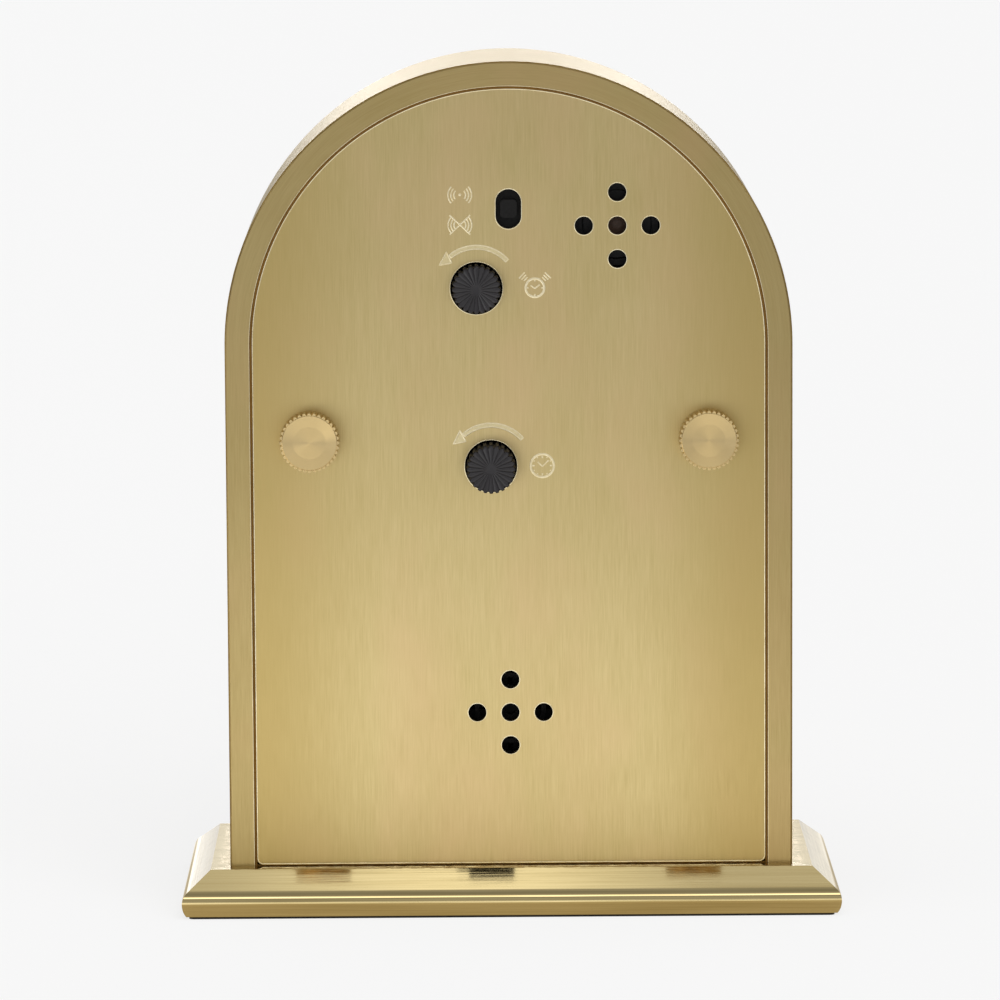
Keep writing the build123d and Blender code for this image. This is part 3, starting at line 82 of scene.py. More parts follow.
# Shares of a sign's radius: its arcs' radii, or the ends of its hands, their tails and its ticks.
ARC_SHARES = (0.5, 0.75, 1.0)
ALARM_HANDS = ((-0.42, 0.25), (0.45, 0.3))
PLAIN_HANDS = ((-0.35, 0.3), (0.5, 0.42))
HAND_TAIL, QUARTER_TICK, TICK, TICK_END = 0.06, 0.6, 0.7, 0.78
# Degrees: half a sound arc, where the bells lean and where the arrows' arcs start and end.
ARC_HALF, BELL_LEANS = 44, (44, 136)
ALARM_ARROW, TIME_ARROW = (138, 51), (138.7, 49.5)
# The etched fill's height as a share of its lines' height.
ETCHED_SHARE = 0.3

# How deep a piece is sunk into the plate that it lies on, so that no gap shows.
SINK = 0.05 * MM
# Points closer than the first of these become one, and edges shorter than the second go.
SAME_POINT, NO_EDGE = 5e-7, 1e-7
# Steps round a vent, a knob's hole, a sign's dot, a sign's ring and the minute track's circles.
VENT_STEPS, KNOB_STEPS, DOT_STEPS, SIGN_STEPS, TRACK_STEPS = 40, 72, 16, 48, 240
# Steps round each end of a slot, round each lower corner of the plate and along a head's side.
SLOT_STEPS, CORNER_STEPS, HEAD_STEPS = 24, 9, 8
# Steps along a sound arc, an arrow's band, the plate's arch, the case's arch and its sides.
ARC_STEPS, ARROW_STEPS, PLATE_STEPS, RIM_STEPS, SIDE_STEPS = 13, 40, 120, 160, 30
# The height where trim that runs down to the base ends, just clear of the base.
FOOT = BASE_HIGH.z + 0.02 * MM
# How far the slider's skirt lies behind the plate, at its far and its near face.
SKIRT_BEHIND = (0.7 * MM, 0.2 * MM)
# How far a knob's crown stands off the knob's own face.
CROWN_LIFT = 0.03 * MM
# The brown strip's two sides and two heights in millimetres, beside the plate and under it; the
# strip is painted shade in the groove.
GROOVE_FILL_BESIDE = (0.03, 0.47, -1.0, -0.3)
GROOVE_FILL_UNDER = (-0.08, 0.08, -1.0, -0.25)

# How much of the floor's own colour is seen whatever falls on it, and the fill light's level.
OWN_COLOUR, FILL = 0.84, 0.55

# What metal sees in front of the clock: (height of the ray's direction, brightness).
ROOM_LEVELS = (
    (0.0, 0.9), (0.05, 0.45), (0.2, 0.5), (0.34, 0.45), (0.44, 2.4), (0.5, 2.4), (0.6, 0.6),
    (0.7, 0.35), (1.0, 0.3),
)
# Each lamp's name, strength, spread and lean in degrees.
LAMPS = (
    ("lamp_over", 1.1, 60, (-12, 0, 0)),
    ("lamp_left", 0.7, 50, (-58, 0, 28)),
    ("lamp_dial", 1.0, 60, (62, 0, -15)),
)


def linear(code):
    """An sRGB hex colour as linear red, green, blue and a full alpha."""
    parts = [int(code[i : i + 2], 16) / 255 for i in (1, 3, 5)]
    bent = [p / 12.92 if p <= 0.04045 else ((p + 0.055) / 1.055) ** 2.4 for p in parts]
    return (*bent, 1.0)


def shade(colour, *factors, lift=0.0):
    """A colour with its channels times three factors, or all times one, and lifted evenly."""
    factors = factors * 3 if len(factors) == 1 else factors
    return (*(c * f + lift for c, f in zip(colour, factors)), 1.0)


def size(label, text, millimetres):
    """A length property in metres with its default given in millimetres."""
    return FloatProperty(
        name=label, description=text, default=millimetres * MM, min=0.0, unit="LENGTH", precision=5
    )


def angle_of(label, text, radians):
    """An angle property."""
    return FloatProperty(name=label, description=text, default=radians, subtype="ANGLE")


def tint(label, text, code):
    """A colour property with its default given as sRGB hex."""
    return FloatVectorProperty(
        name=label, description=text, default=linear(code), size=4, min=0, max=1, subtype="COLOR"
    )


class ClockBrass(bpy.types.PropertyGroup):
    """Colours of the brass pieces."""

    plate: tint("Back plate", "Brushed brass of the back plate", "#E1CC94")
    plate_worn: tint("Back plate, dark lines", "Darker brush lines of the back plate", "#C9B377")
    # Painted shade: the plate's brass turns darker and warmer towards its sides, as the light
    # falls off there.
    plate_side_shade: tint("Back plate, edges", "Warmer brass towards the plate's sides", "#BFA666")
    case: tint("Case", "Brushed brass of the case's band and rim", "#C4AF79")
    case_dark: tint("Case, dark lines", "Darker brush lines of the case", "#AE9760")
    base: tint("Base", "Polished brass of the base", "#DFCB95")
    base_dark: tint("Base, dark streaks", "Darker streaks of the base", "#B39C62")
    base_spot: tint("Base, dried spots", "Dull spots of lacquer on the base's top", "#BFA26B")
    screw: tint("Thumb screws", "Turned brass of the thumb screws", "#DDC28A")
    # Painted shade: the brown that darkens the groove round the plate and the insides of its
    # holes; also the colour of the dark line at the case's rear corner.
    dark_brown: tint("Tarnish", "Brown brass in the groove and inside the holes", "#7A5C26")
    # Painted shade: a brown strip laid in the groove round the plate and under it, where shade
    # falls.
    groove_shade_fill: tint("Polish residue", "Old polish dried in the groove round the plate", "#6B4B10")
    # Painted highlight: the raised signs and the broken edges get a brass far paler than the
    # plate, standing for the glint on them.
    mark: tint("Raised signs", "Bright lines of the signs", "#FDF0CB")
    etched: tint("Etched fill", "Pale fill of the turning arrows", "#EBDCAE")
    inner: tint("Inner brass", "Turned brass inside the movement", "#C9A85E")
    ring: tint("Dial bezel", "Polished brass of the dial's bezel", "#D8C190")


class ClockParts(bpy.types.PropertyGroup):
    """Colours of the plastic, steel, paper and painted parts."""

    knob: tint("Knobs", "Moulded black plastic of the knobs", "#1A1719")
    # Painted shade: the knobs' flanks are given a darker black than their crowns.
    knob_flank_shade: tint("Knobs, flanks", "Duller plastic of the knobs' fluted flanks", "#121011")
    slider: tint("Alarm slider", "Black plastic of the alarm slider's pad", "#100F0E")
    skirt: tint("Slider skirt", "Black plastic of the alarm slider's skirt", "#0B0B0A")
    body: tint("Black mouldings", "Black plastic of the movement and holders", "#0B0B0C")
    gasket: tint("Gasket", "Rubber under the glass", "#1A1A1A")
    gear: tint("Gears", "Natural acetal of the wheels", "#E8E4D6")
    magnet: tint("Magnet", "Ferrite of the motor's rotor", "#3B3B3E")
    wire: tint("Coil wire", "Enamelled copper of the coil", "#D07A45")
    # Painted shade: the copper between the coil's turns is coloured darker.
    wire_gap_shade: tint("Coil wire, gaps", "Copper in the gaps between the coil's turns", "#6E2C17")
    steel: tint("Steel", "Nickel plate of the screws and contacts", "#C9CBCC")
    hand: tint("Hands", "Blacked steel of the hands", "#2A2826")
    hand_dark: tint("Hands, streaks", "Darker streaks of the hands", "#161514")
    dial: tint("Dial", "Painted dial", "#F3EEDF")
    print_ink: tint("Dial print", "Ink of the numerals and the minute track", "#1B1A18")
    board: tint("Circuit board", "Solder resist of the circuit board", "#1F5A36")
    cell: tint("Cell sleeve", "Shrink sleeve of the cell", "#2B3A5C")
    cone: tint("Speaker cone", "Pulp of the speaker's cone", "#2A2723")
    disc: tint("Sounder disc", "Lacquered brass of the sounder's domed disc", "#5E4A3E")
    felt: tint("Felt", "Felt under the base", "#161514")


class ClockSigns(bpy.types.PropertyGroup):
    """Sizes of the signs on the back plate."""

    line: size("Line width", "Width of a line", 0.28)
    ring: size("Ring width", "Width of the clock signs' rings", 0.45)
    proud: size("Line height", "Height of a line's crown above the plate", 0.035)
    arrow_band: size("Arrow width", "Width of the turning arrows' band", 0.72)
    alarm_arrow: size("Alarm arrow", "Radius of the alarm knob's arrow", 7.9)
    time_arrow: size("Time arrow", "Radius of the time knob's arrow", 7.95)
    sound_radius: size("Sound arcs", "Radius of the outer sound arc", 2.25)
    alarm_dial: size("Alarm sign", "Radius of the alarm clock sign", 2.0)
    clock_dial: size("Clock sign", "Radius of the clock sign", 2.45)


class ClockEdges(bpy.types.PropertyGroup):
    """Sizes of the holes, the broken edges, the slider's skirt and the knobs' crowns."""

    vent: size("Vent radius", "Radius of a vent's hole", 1.75)
    vent_pitch: size("Vent pitch", "Distance between the vents' holes", 6.4)
    knob_hole: size("Knob hole radius", "Radius of the hole round a knob", 5.0)
    slot_width: size("Slot half width", "Half the width of the alarm slider's slot", 2.45)
    slot_height: size("Slot half height", "Half the height of the alarm slider's slot", 3.8)
    skirt_width: size("Skirt half width", "Half the width of the alarm slider's skirt", 3.1)
    skirt_height: size("Skirt half height", "Half the height of the alarm slider's skirt", 5.9)
    lip: size("Lip width", "Width of the broken edge round a hole", 0.17)
    rim_lip: size("Rim lip width", "Width of the broken edge round the plate", 0.22)
    lip_proud: size("Lip height", "Height of the burnished edge", 0.015)
    lip_depth: size("Lip depth", "Depth of the edge inside a hole", 0.3)
    gap: size("Groove width", "Width of the groove between the plate and the case", 0.5)
    # The corner line is a dark line drawn along the case's rear corner.
    corner_line: size("Corner line", "Width of the worn line at the case's rear corner", 0.17)
    corner_inset: size("Corner inset", "Distance of that line from the case's side", 0.1)
    rib: size("Rib height", "Height of the ribs on a knob's face", 0.2)
    dimple: size("Knob centre", "Radius of the plain centre of a knob", 0.7)
    scallop: size("Scallop depth", "Depth of the notches in a knob's edge", 0.35)
    shoulder: size("Knob shoulder", "Width and drop of the chamfer at a crown's edge", 0.12)
    crown_foot: size("Crown depth", "Depth of a crown's foot below the knob's face", 0.45)


class ClockDial(bpy.types.PropertyGroup):
    """Sizes of the dial's print."""

    track_outer: size("Track outside", "Outer radius of the minute track", 37.4)
    track_inner: size("Track inside", "Inner radius of the minute track", 35.4)
    numeral_radius: size("Numeral ring", "Radius at the middle of the numerals", 30.6)
    numeral_height: size("Numeral height", "Height of the numerals", 6.4)
    ink: size("Ink thickness", "Thickness of the printed ink", 0.02)
    line: size("Line width", "Width of the track's circles", 0.22)


class ClockStage(bpy.types.PropertyGroup):
    """The camera, and the floor with its backdrop."""

    focal: FloatProperty(
        name="Lens", description="Focal length of the camera in millimetres",
        default=221.13, min=1.0, subtype="DISTANCE_CAMERA",
    )
    yaw: angle_of("Yaw", "Turn of the camera about the vertical", 0.0060)
    pitch: angle_of("Pitch", "Downward tilt of the camera", 0.1328)
    roll: angle_of("Roll", "Turn of the camera about its view", -0.0057)
    place: FloatVectorProperty(
        name="Camera place", description="Where the camera stands",
        default=(8.83 * MM, 1190.3 * MM, 236.3 * MM), subtype="TRANSLATION",
    )
    paper: tint("Background", "Colour of the floor and the backdrop", "#F6F6F6")
    floor_half: FloatProperty(
        name="Floor", description="Half the side of the floor", default=12.0, unit="LENGTH"
    )


# Surfaces

def grid_faces(rows, columns, wrap_rows, wrap_columns):
    """Quads from each grid point to the next row and column, the last meeting a wrapped first."""
    row = np.arange(rows if wrap_rows else rows - 1)
    column = np.arange(columns if wrap_columns else columns - 1)
    row, column = np.meshgrid(row, column, indexing="ij")
    next_row, next_column = (row + 1) % rows, (column + 1) % columns
    corners = ((row, column), (row, next_column), (next_row, next_column), (next_row, column))
    return np.stack([r * columns + c for r, c in corners], -1).reshape(-1, 4)


def add_piece(name, patches, material, body, smooth_deg=40.0):
    """One closed mesh of several grids of points, each (points, wrap rows, wrap columns).

    The grids' seams and poles are merged and every shell's faces are turned outwards.
    """
    points, faces, start = [], [], 0
    for grid, wrap_rows, wrap_columns in patches:
        rows, columns = grid.shape[:2]
        points.append(grid.reshape(-1, 3))
        faces.append(grid_faces(rows, columns, wrap_rows, wrap_columns) + start)
        start += rows * columns
    mesh = bpy.data.meshes.new(name)
    mesh.from_pydata(np.concatenate(points).tolist(), [], np.concatenate(faces).tolist())
    shell = bmesh.new()
    shell.from_mesh(mesh)
    bmesh.ops.remove_doubles(shell, verts=shell.verts, dist=SAME_POINT)
    bmesh.ops.dissolve_degenerate(shell, edges=shell.edges, dist=NO_EDGE)
    bmesh.ops.recalc_face_normals(shell, faces=shell.faces)
    shell.to_mesh(mesh)
    shell.free()
    mesh.shade_smooth()
    mesh.set_sharp_from_angle(angle=math.radians(smooth_deg))
    mesh.materials.append(material)
    made = bpy.data.objects.new(name, mesh)
    bpy.context.scene.collection.objects.link(made)
    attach(made, body)
    return made


def prism(ring, low, high):
    """A closed plate: its middle, the ring of points at two heights along Y, its middle again."""
    middle = np.repeat(ring.mean(0)[None], len(ring), 0)
    layers = np.stack((middle, ring, ring, middle))
    layers[:2, :, 1] = low
    layers[2:, :, 1] = high
    return layers, False, True


def carried(path, side, outline, closed):
    """An outline carried along a path in the XZ plane.

    Each point is the path's point, plus the outline's first number times the path's side vector,
    plus its second number along +Y. An open path is closed by a pole at each end.
    """
    a, b = outline[:, 0], outline[:, 1]
    up = np.array((0.0, 1.0, 0.0))
    grid = path[:, None] + side[:, None] * a[None, :, None] + up * b[None, :, None]
    if closed:
        return grid, True, True
    first, last = (np.repeat(g.mean(0)[None, None], len(a), 1) for g in (grid[0], grid[-1]))
    return np.concatenate((first, grid, last)), False, True


def sideways(path, closed):
    """Unit vectors in the XZ plane at right angles to a path's run, to its right as it goes."""
    run = np.roll(path, -1, 0) - np.roll(path, 1, 0) if closed else np.gradient(path, axis=0)
    side = np.stack((run[:, 2], np.zeros(len(run)), -run[:, 0]), -1)
    return side / np.linalg.norm(side, axis=1)[:, None]


def outwards(path, closed, centre):
    """The path's side vectors, turned so that the first points away from a centre."""
    side = sideways(path, closed)
    spoke = path[0] - np.array((centre[0], path[0][1], centre[1]))
    return side if (spoke * side[0]).sum() > 0 else -side


def crown(width, height, sink, steps=7):
    """A line's section: an arch of sines over a flat bottom sunk in the plate."""
    angle = np.linspace(0, math.pi, steps)
    top = np.stack((-np.cos(angle) * width / 2, np.sin(angle) * height), -1)
    low = np.array(((width / 2, -sink), (-width / 2, -sink)))
    return np.concatenate((top, low))


def oblong(left, right, low, high):
    """A plain rectangle as a section, from its two sides and its two heights."""
    return np.array(((left, high), (right, high), (right, low), (left, low)))


def arc_path(centre, radius, start_deg, end_deg, steps, y):
    """Points of an arc in the XZ plane: the centre plus the radius at evenly spaced angles."""
    angle = np.radians(np.linspace(start_deg, end_deg, steps))
    x = centre[0] + radius * np.cos(angle)
    z = centre[1] + radius * np.sin(angle)
    return np.stack((x, np.full(steps, y), z), -1)


def ring_path(centre, radius, steps, y):
    """Points of a full circle in the XZ plane, the last one short of the first."""
    return arc_path(centre, radius, 0, 360 * (1 - 1 / steps), steps, y)


def straight(start, end, y, steps=2):
    """Evenly spaced points between two places in the XZ plane."""
    share = np.linspace(0, 1, steps)[:, None]
    flat = np.array(start) * (1 - share) + np.array(end) * share
    return np.stack((flat[:, 0], np.full(steps, y), flat[:, 1]), -1)


def slot_path(centre, half_width, half_height, steps):
    """A slot's outline: a half circle over each end of two straight sides."""
    rise = half_height - half_width
    top = arc_path((centre[0], centre[1] + rise), half_width, 0, 180, steps, PLATE_Y)
    low = arc_path((centre[0], centre[1] - rise), half_width, 180, 360, steps, PLATE_Y)
    return np.concatenate((top, low))


def plate_outline(steps):
    """The back plate's outline: its arch, straight sides and rounded lower corners."""
    corner = 1.2 * MM
    height = PLATE_LOW.z + corner
    top = arc_path((0.0, ARCH_Z), PLATE_HALF, 0, 180, steps, PLATE_Y)
    left = arc_path((-PLATE_HALF + corner, height), corner, 180, 270, CORNER_STEPS, PLATE_Y)
    right = arc_path((PLATE_HALF - corner, height), corner, 270, 360, CORNER_STEPS, PLATE_Y)
    return np.concatenate((top, left, right))


def arch_path(half, steps):
    """The case's arch at its rear: up one side, round the arch's half circle, down the other."""
    right = straight((half, FOOT), (half, ARCH_Z), CASE_HIGH.y, SIDE_STEPS)[:-1]
    top = arc_path((0.0, ARCH_Z), half, 0, 180, steps, CASE_HIGH.y)
    left = straight((-half, ARCH_Z), (-half, FOOT), CASE_HIGH.y, SIDE_STEPS)[1:]
    return np.concatenate((right, top, left))


def spun(profile, centre, steps):
    """A profile of (radius, y) turned about a Y axis: the centre plus the radius at the angle."""
    angle = np.linspace(0, TURN, steps, endpoint=False)
    radius, y = profile[:, 0][:, None], profile[:, 1][:, None]
    x = centre[0] + radius * np.cos(angle)
    z = centre[1] + radius * np.sin(angle)
    return np.stack((x, y + 0 * x, z), -1), False, True


# Shader trees

def add(tree, kind, inputs=(), out=0, **settings):
    """Adds a shader node and gives back one of its outputs, or all with EVERY.

    The settings are the node's own properties. The inputs, in order or by name or number, are
    plain values or outputs of other nodes.
    """
    node = tree.nodes.new("ShaderNode" + kind)
    for key, value in settings.items():
        setattr(node, key, value)
    for key, value in inputs.items() if isinstance(inputs, dict) else enumerate(inputs):
        if isinstance(value, bpy.types.NodeSocket):
            tree.links.new(value, node.inputs[key])
        else:
            node.inputs[key].default_value = value
    return node.outputs[out] if len(node.outputs) else None


def new_material(name):
    """A material and its emptied tree."""
    material = bpy.data.materials.new(name)
    material.use_nodes = True
    material.node_tree.nodes.clear()
    return material, material.node_tree


def shaded(material, height, depth, surface):
    """Ends a material's tree: a height's bump of a depth in millimetres, shader and output."""
    tree = material.node_tree
    bump = add(tree, "Bump", {"Distance": depth * MM, "Height": height})
    shader = add(tree, "BsdfPrincipled", {**surface, "Normal": bump})
    add(tree, "OutputMaterial", {"Surface": shader})
    return material


def grain(tree, period, detail=2.0, roughness=0.55, centre=(0, 0, 0), over=None):
    """Noise stretched to the given sizes in millimetres, in object space or over a vector."""
    if over is None:
        over = add(tree, "TexCoord", out="Object")
    scale = tuple(1 / (p * MM) for p in period)
    shift = tuple(-c * s for c, s in zip(centre, scale))
    placed = add(tree, "Mapping", {"Vector": over, "Location": shift, "Scale": scale})
    return add(
        tree, "TexNoise",
        {"Vector": placed, "Scale": 1.0, "Detail": detail, "Roughness": roughness},
    )


def spokes(tree, centre):
    """Each point's way out from a Y axis through a centre, and its distance from that axis."""
    place = add(tree, "TexCoord", out="Object")
    middle = add(tree, "VectorMath", (place, centre), operation="SUBTRACT")
    way = add(tree, "VectorMath", (middle, (1, 0, 1)), operation="MULTIPLY")
    return way, add(tree, "VectorMath", (way,), "Value", operation="LENGTH")


def between(tree, value, low, high):
    """One inside a range of a value and nought outside it."""
    above = add(tree, "Math", (value, low), operation="GREATER_THAN")
    below = add(tree, "Math", (value, high), operation="LESS_THAN")
    return add(tree, "Math", (above, below), operation="MULTIPLY")


def arch_run(tree):
    """Distance across the arch, depth and distance along it, and the direction along it.

    Above the arch's centre the first is the radius and the last the arc's length; below, they
    are the distance from the middle and the height.
    """
    x, y, z = add(tree, "SeparateXYZ", (add(tree, "TexCoord", out="Object"),), EVERY)
    rise = add(tree, "Math", (z, ARCH_Z), operation="SUBTRACT")
    above = add(tree, "Math", (rise, 0.0), operation="MAXIMUM")
    below = add(tree, "Math", (rise, 0.0), operation="MINIMUM")
    spoke = add(tree, "CombineXYZ", {"X": x, "Z": above})
    across = add(tree, "VectorMath", (spoke,), "Value", operation="LENGTH")
    aside = add(tree, "Math", (x,), operation="ABSOLUTE")
    angle = add(tree, "Math", (aside, above), operation="ARCTAN2")
    arc = add(tree, "Math", (angle, PLATE_HALF), operation="MULTIPLY")
    along = add(tree, "Math", (arc, below), operation="SUBTRACT")
    down = add(tree, "Math", (above, -1.0), operation="MULTIPLY")
    place = add(tree, "CombineXYZ", (across, y, along))
    return place, add(tree, "CombineXYZ", {"X": down, "Z": x})


def brushed_brass(name, bright, dark, edge, dark_brown, roughness, spread):
    """Brass brushed along the plate's height, or along the arch for the case's band and rim.

    The eye sees hair-fine broken lines and highlights drawn out across them. The lines are
    drawn 0.2 mm apart, coarser than a real belt's, so that they show at all. In the groove round
    the plate and inside its holes the brass is painted dark brown as their shade. Only the plate
    is painted darker and warmer towards its sides, as its light falls off there, and only the
    case is brushed along the arch.
    """
    material, tree = new_material(name)
    if edge is None:
        place, run = arch_run(tree)
    else:
        place = add(tree, "TexCoord", out="Object")
        run = add(tree, "CombineXYZ", {"Z": 1.0})
    fine = grain(tree, (0.2, 0.2, 7.0), 2.0, 0.7, over=place)
    broad = grain(tree, (0.9, 0.9, 26.0), over=place)
    stain = grain(tree, (30.0, 30.0, 44.0))
    lines = add(tree, "Math", (
        add(tree, "MapRange", (fine, 0.25, 0.75, 0.0, 0.55)),
        add(tree, "MapRange", (broad, 0.3, 0.7, 0.0, 0.16)),
    ), operation="ADD")
    stains = add(tree, "MapRange", (stain, 0.35, 0.7, 0.0, 0.25))
    total = add(tree, "Math", (lines, stains), operation="ADD")
    colour = add(tree, "Mix", {0: total, 6: bright, 7: dark}, 2, data_type="RGBA")
    cloud = grain(tree, (17.0, 17.0, 30.0), centre=(5 * MM, 0, 0))
    blush = add(tree, "MapRange", (cloud, 0.45, 0.75, 0.0, 0.6))
    ruddy = shade(bright, 0.99, 0.9, 0.93)
    colour = add(tree, "Mix", {0: blush, 6: colour, 7: ruddy}, 2, data_type="RGBA")
    x, y, _ = add(tree, "SeparateXYZ", (place,), EVERY)
    rear, front = PLATE_Y, PLATE_Y - PLATE_THICK
    if edge is None:
        inside = add(tree, "Math", (x, PLATE_HALF + 0.6 * MM), operation="LESS_THAN")
        groove = between(tree, y, front - 0.05 * MM, rear - 0.1 * MM)
        hollow_shade = add(tree, "Math", (inside, groove), operation="MULTIPLY")
    else:
        # Painted shade: the plate's colour turns towards the side shade near its sides.
        side = add(tree, "Math", (x,), operation="ABSOLUTE")
        near = add(
            tree, "MapRange", (side, PLATE_HALF * 0.45, PLATE_HALF, 0.0, 0.75),
            interpolation_type="SMOOTHSTEP",
        )
        colour = add(tree, "Mix", {0: near, 6: colour, 7: edge}, 2, data_type="RGBA")
        hollow_shade = between(tree, y, front + 0.05 * MM, rear - 0.2 * MM)
    # Painted shade: the groove's walls and the holes' insides are coloured dark brown.
    colour = add(tree, "Mix", {0: hollow_shade, 6: colour, 7: dark_brown}, 2, data_type="RGBA")
    normal = add(tree, "NewGeometry", out="True Normal")
    run = add(tree, "VectorTransform", (run,), convert_from="OBJECT", convert_to="WORLD")
    across = add(tree, "VectorMath", (run, normal), operation="CROSS_PRODUCT")
    rough = (fine, 0.25, 0.75, roughness - 0.04, roughness + 0.06)
    return shaded(material, fine, 0.0035, {
        "Metallic": 1.0, "Anisotropic": spread, "Tangent": across, "Base Color": colour,
        "Roughness": add(tree, "MapRange", rough),
    })


def turned_brass(name, bright, dark, centre, roughness, pitch=0.22, spread=0.75, cut=0.28):
    """Brass turned on a lathe: concentric tool rings that throw highlights out like a bow tie."""
    material, tree = new_material(name)
    way, radius = spokes(tree, centre)
    rings = add(
        tree, "TexNoise", {"W": radius, "Scale": 1 / (pitch * MM), "Detail": 3.0},
        noise_dimensions="1D",
    )
    share = add(tree, "MapRange", (rings, 0.3, 0.7, 0.0, cut))
    colour = add(tree, "Mix", {0: share, 6: bright, 7: dark}, 2, data_type="RGBA")
    out = add(tree, "VectorMath", (way,), operation="NORMALIZE")
    out = add(tree, "VectorTransform", (out,), convert_from="OBJECT", convert_to="WORLD")
    rough = (rings, 0.3, 0.7, roughness - 0.1 * cut, roughness + 0.2 * cut)
    return shaded(material, rings, 0.002 * cut, {
        "Metallic": 1.0, "Anisotropic": spread, "Tangent": out, "Base Color": colour,
        "Roughness": add(tree, "MapRange", rough),
    })


def polished_brass(name, bright, dark, roughness, streak):
    """Buffed brass: near mirror bright, with faint streaks along the buffing wheel's run."""
    material, tree = new_material(name)
    streaks = grain(tree, streak, 3.0)
    cloud = grain(tree, (16.0, 16.0, 16.0), 3.0)
    share = add(tree, "Math", (
        add(tree, "MapRange", (streaks, 0.35, 0.75, 0.0, 0.5)),
        add(tree, "MapRange", (cloud, 0.45, 0.8, 0.0, 0.35)),
    ), operation="ADD", use_clamp=True)
    rough = (streaks, 0.3, 0.75, roughness - 0.03, roughness + 0.09)
    return shaded(material, streaks, 0.002, {
        "Metallic": 1.0, "Roughness": add(tree, "MapRange", rough),
        "Base Color": add(tree, "Mix", {0: share, 6: bright, 7: dark}, 2, data_type="RGBA"),
    })


def base_brass(name, bright, dark, spotted, roughness):
    """Buffed brass bars mitred at the corners: each keeps its own lengthwise streaks.

    The buffing wheel has left the bevel slightly wavy and has rolled off its lower edge.
    On the flat top beside the case the lacquer has dried in dull spots, as a hand-wiped coat does.
    """
    material, tree = new_material(name)
    x, y, z = add(tree, "SeparateXYZ", (add(tree, "TexCoord", out="Object"),), EVERY)
    out_x, out_y = (
        add(tree, "Math", (
            add(tree, "Math", (along,), operation="ABSOLUTE"), edge
        ), operation="SUBTRACT")
        for along, edge in ((x, BASE_HIGH.x), (y, BASE_HIGH.y))
    )
    end_bar = add(tree, "Math", (out_x, out_y), operation="GREATER_THAN")
    lengthwise = grain(tree, (24.0, 0.3, 0.25), 3.0)
    crosswise = grain(tree, (0.3, 24.0, 0.25), 3.0)
    streaks = add(tree, "Mix", {0: end_bar, 2: lengthwise, 3: crosswise}, data_type="FLOAT")
    waves = grain(tree, (60.0, 2.4, 2.4), 1.0)
    total = add(tree, "Math", (
        add(tree, "MapRange", (streaks, 0.35, 0.75, 0.0, 0.35)),
        add(tree, "MapRange", (waves, 0.5, 0.75, 0.0, 0.35)),
    ), operation="ADD")
    colour = add(tree, "Mix", {0: total, 6: bright, 7: dark}, 2, data_type="RGBA")
    on_top = add(tree, "Math", (z, BASE_HIGH.z - 0.05 * MM), operation="GREATER_THAN")
    beside = add(tree, "MapRange", (out_x, -9.5 * MM, -5.5 * MM, 1.0, 0.0))
    spots = grain(tree, (2.2, 0.9, 0.9), 4.0, 0.7)
    spotty = on_top
    for share in (beside, add(tree, "MapRange", (spots, 0.45, 0.6, 0.0, 0.9))):
        spotty = add(tree, "Math", (spotty, share), operation="MULTIPLY")
    colour = add(tree, "Mix", {0: spotty, 6: colour, 7: spotted}, 2, data_type="RGBA")
    rough = add(tree, "Math", (
        add(tree, "MapRange", (streaks, 0.3, 0.75, roughness - 0.03, roughness + 0.05)),
        add(tree, "Math", (spotty, 0.3), operation="MULTIPLY"),
    ), operation="ADD")
    out = add(tree, "Math", (out_x, out_y), operation="MAXIMUM")
    rolled = add(
        tree, "MapRange", (out, -1.5 * MM, 0.2 * MM, 0.0, -0.14), interpolation_type="SMOOTHSTEP"
    )
    tilted, buffed, wavy = (
        add(tree, "Math", (value, share), operation="MULTIPLY")
        for value, share in (
            (out, 0.01 / MM),
            (streaks, add(tree, "MapRange", (end_bar, 0, 1, 0.003, 0.001))),
            (waves, add(tree, "MapRange", (end_bar, 0, 1, 0.012, 0))),
        )
    )
    height = add(tree, "Math", (
        add(tree, "Math", (rolled, tilted), operation="ADD"),
        add(tree, "Math", (buffed, wavy), operation="ADD"),
    ), operation="ADD")
    return shaded(
        material, height, 1.0, {"Metallic": 1.0, "Base Color": colour, "Roughness": rough}
    )


def moulded(name, colour, roughness, grit=0.35, depth=0.012, light=1.35, extra=None):
    """Injection moulded plastic: a fine spark-eroded grain with slightly uneven gloss."""
    material, tree = new_material(name)
    spark = grain(tree, (grit,) * 3, 3.0)
    flow = add(tree, "MapRange", (grain(tree, (9.0,) * 3), 0.3, 0.75, 0.0, 1.0))
    pale = shade(colour, light)
    rough = (spark, 0.25, 0.75, roughness - 0.08, roughness + 0.1)
    return shaded(material, spark, depth, {
        "IOR": 1.5, "Roughness": add(tree, "MapRange", rough),
        "Base Color": add(tree, "Mix", {0: flow, 6: colour, 7: pale}, 2, data_type="RGBA"),
        **(extra or {}),
    })


def mottled(name, colour, other, period, detail, depth, surface, centre=(0, 0, 0)):
    """A surface that drifts between two colours with its own grain, which also stands proud."""
    material, tree = new_material(name)
    marks = grain(tree, period, detail, centre=centre)
    share = add(tree, "MapRange", (marks, 0.3, 0.75, 0.0, 1.0))
    mix = add(tree, "Mix", {0: share, 6: colour, 7: other}, 2, data_type="RGBA")
    return shaded(material, marks, depth, {"Base Color": mix, **surface})


def drawn_steel(name, colour):
    """Nickel-plated steel: bright and cool, with faint rolling marks."""
    surface = {"Metallic": 1.0, "Roughness": 0.28}
    return mottled(name, colour, shade(colour, 0.78), (0.4, 0.4, 5.0), 2.0, 0.003, surface)


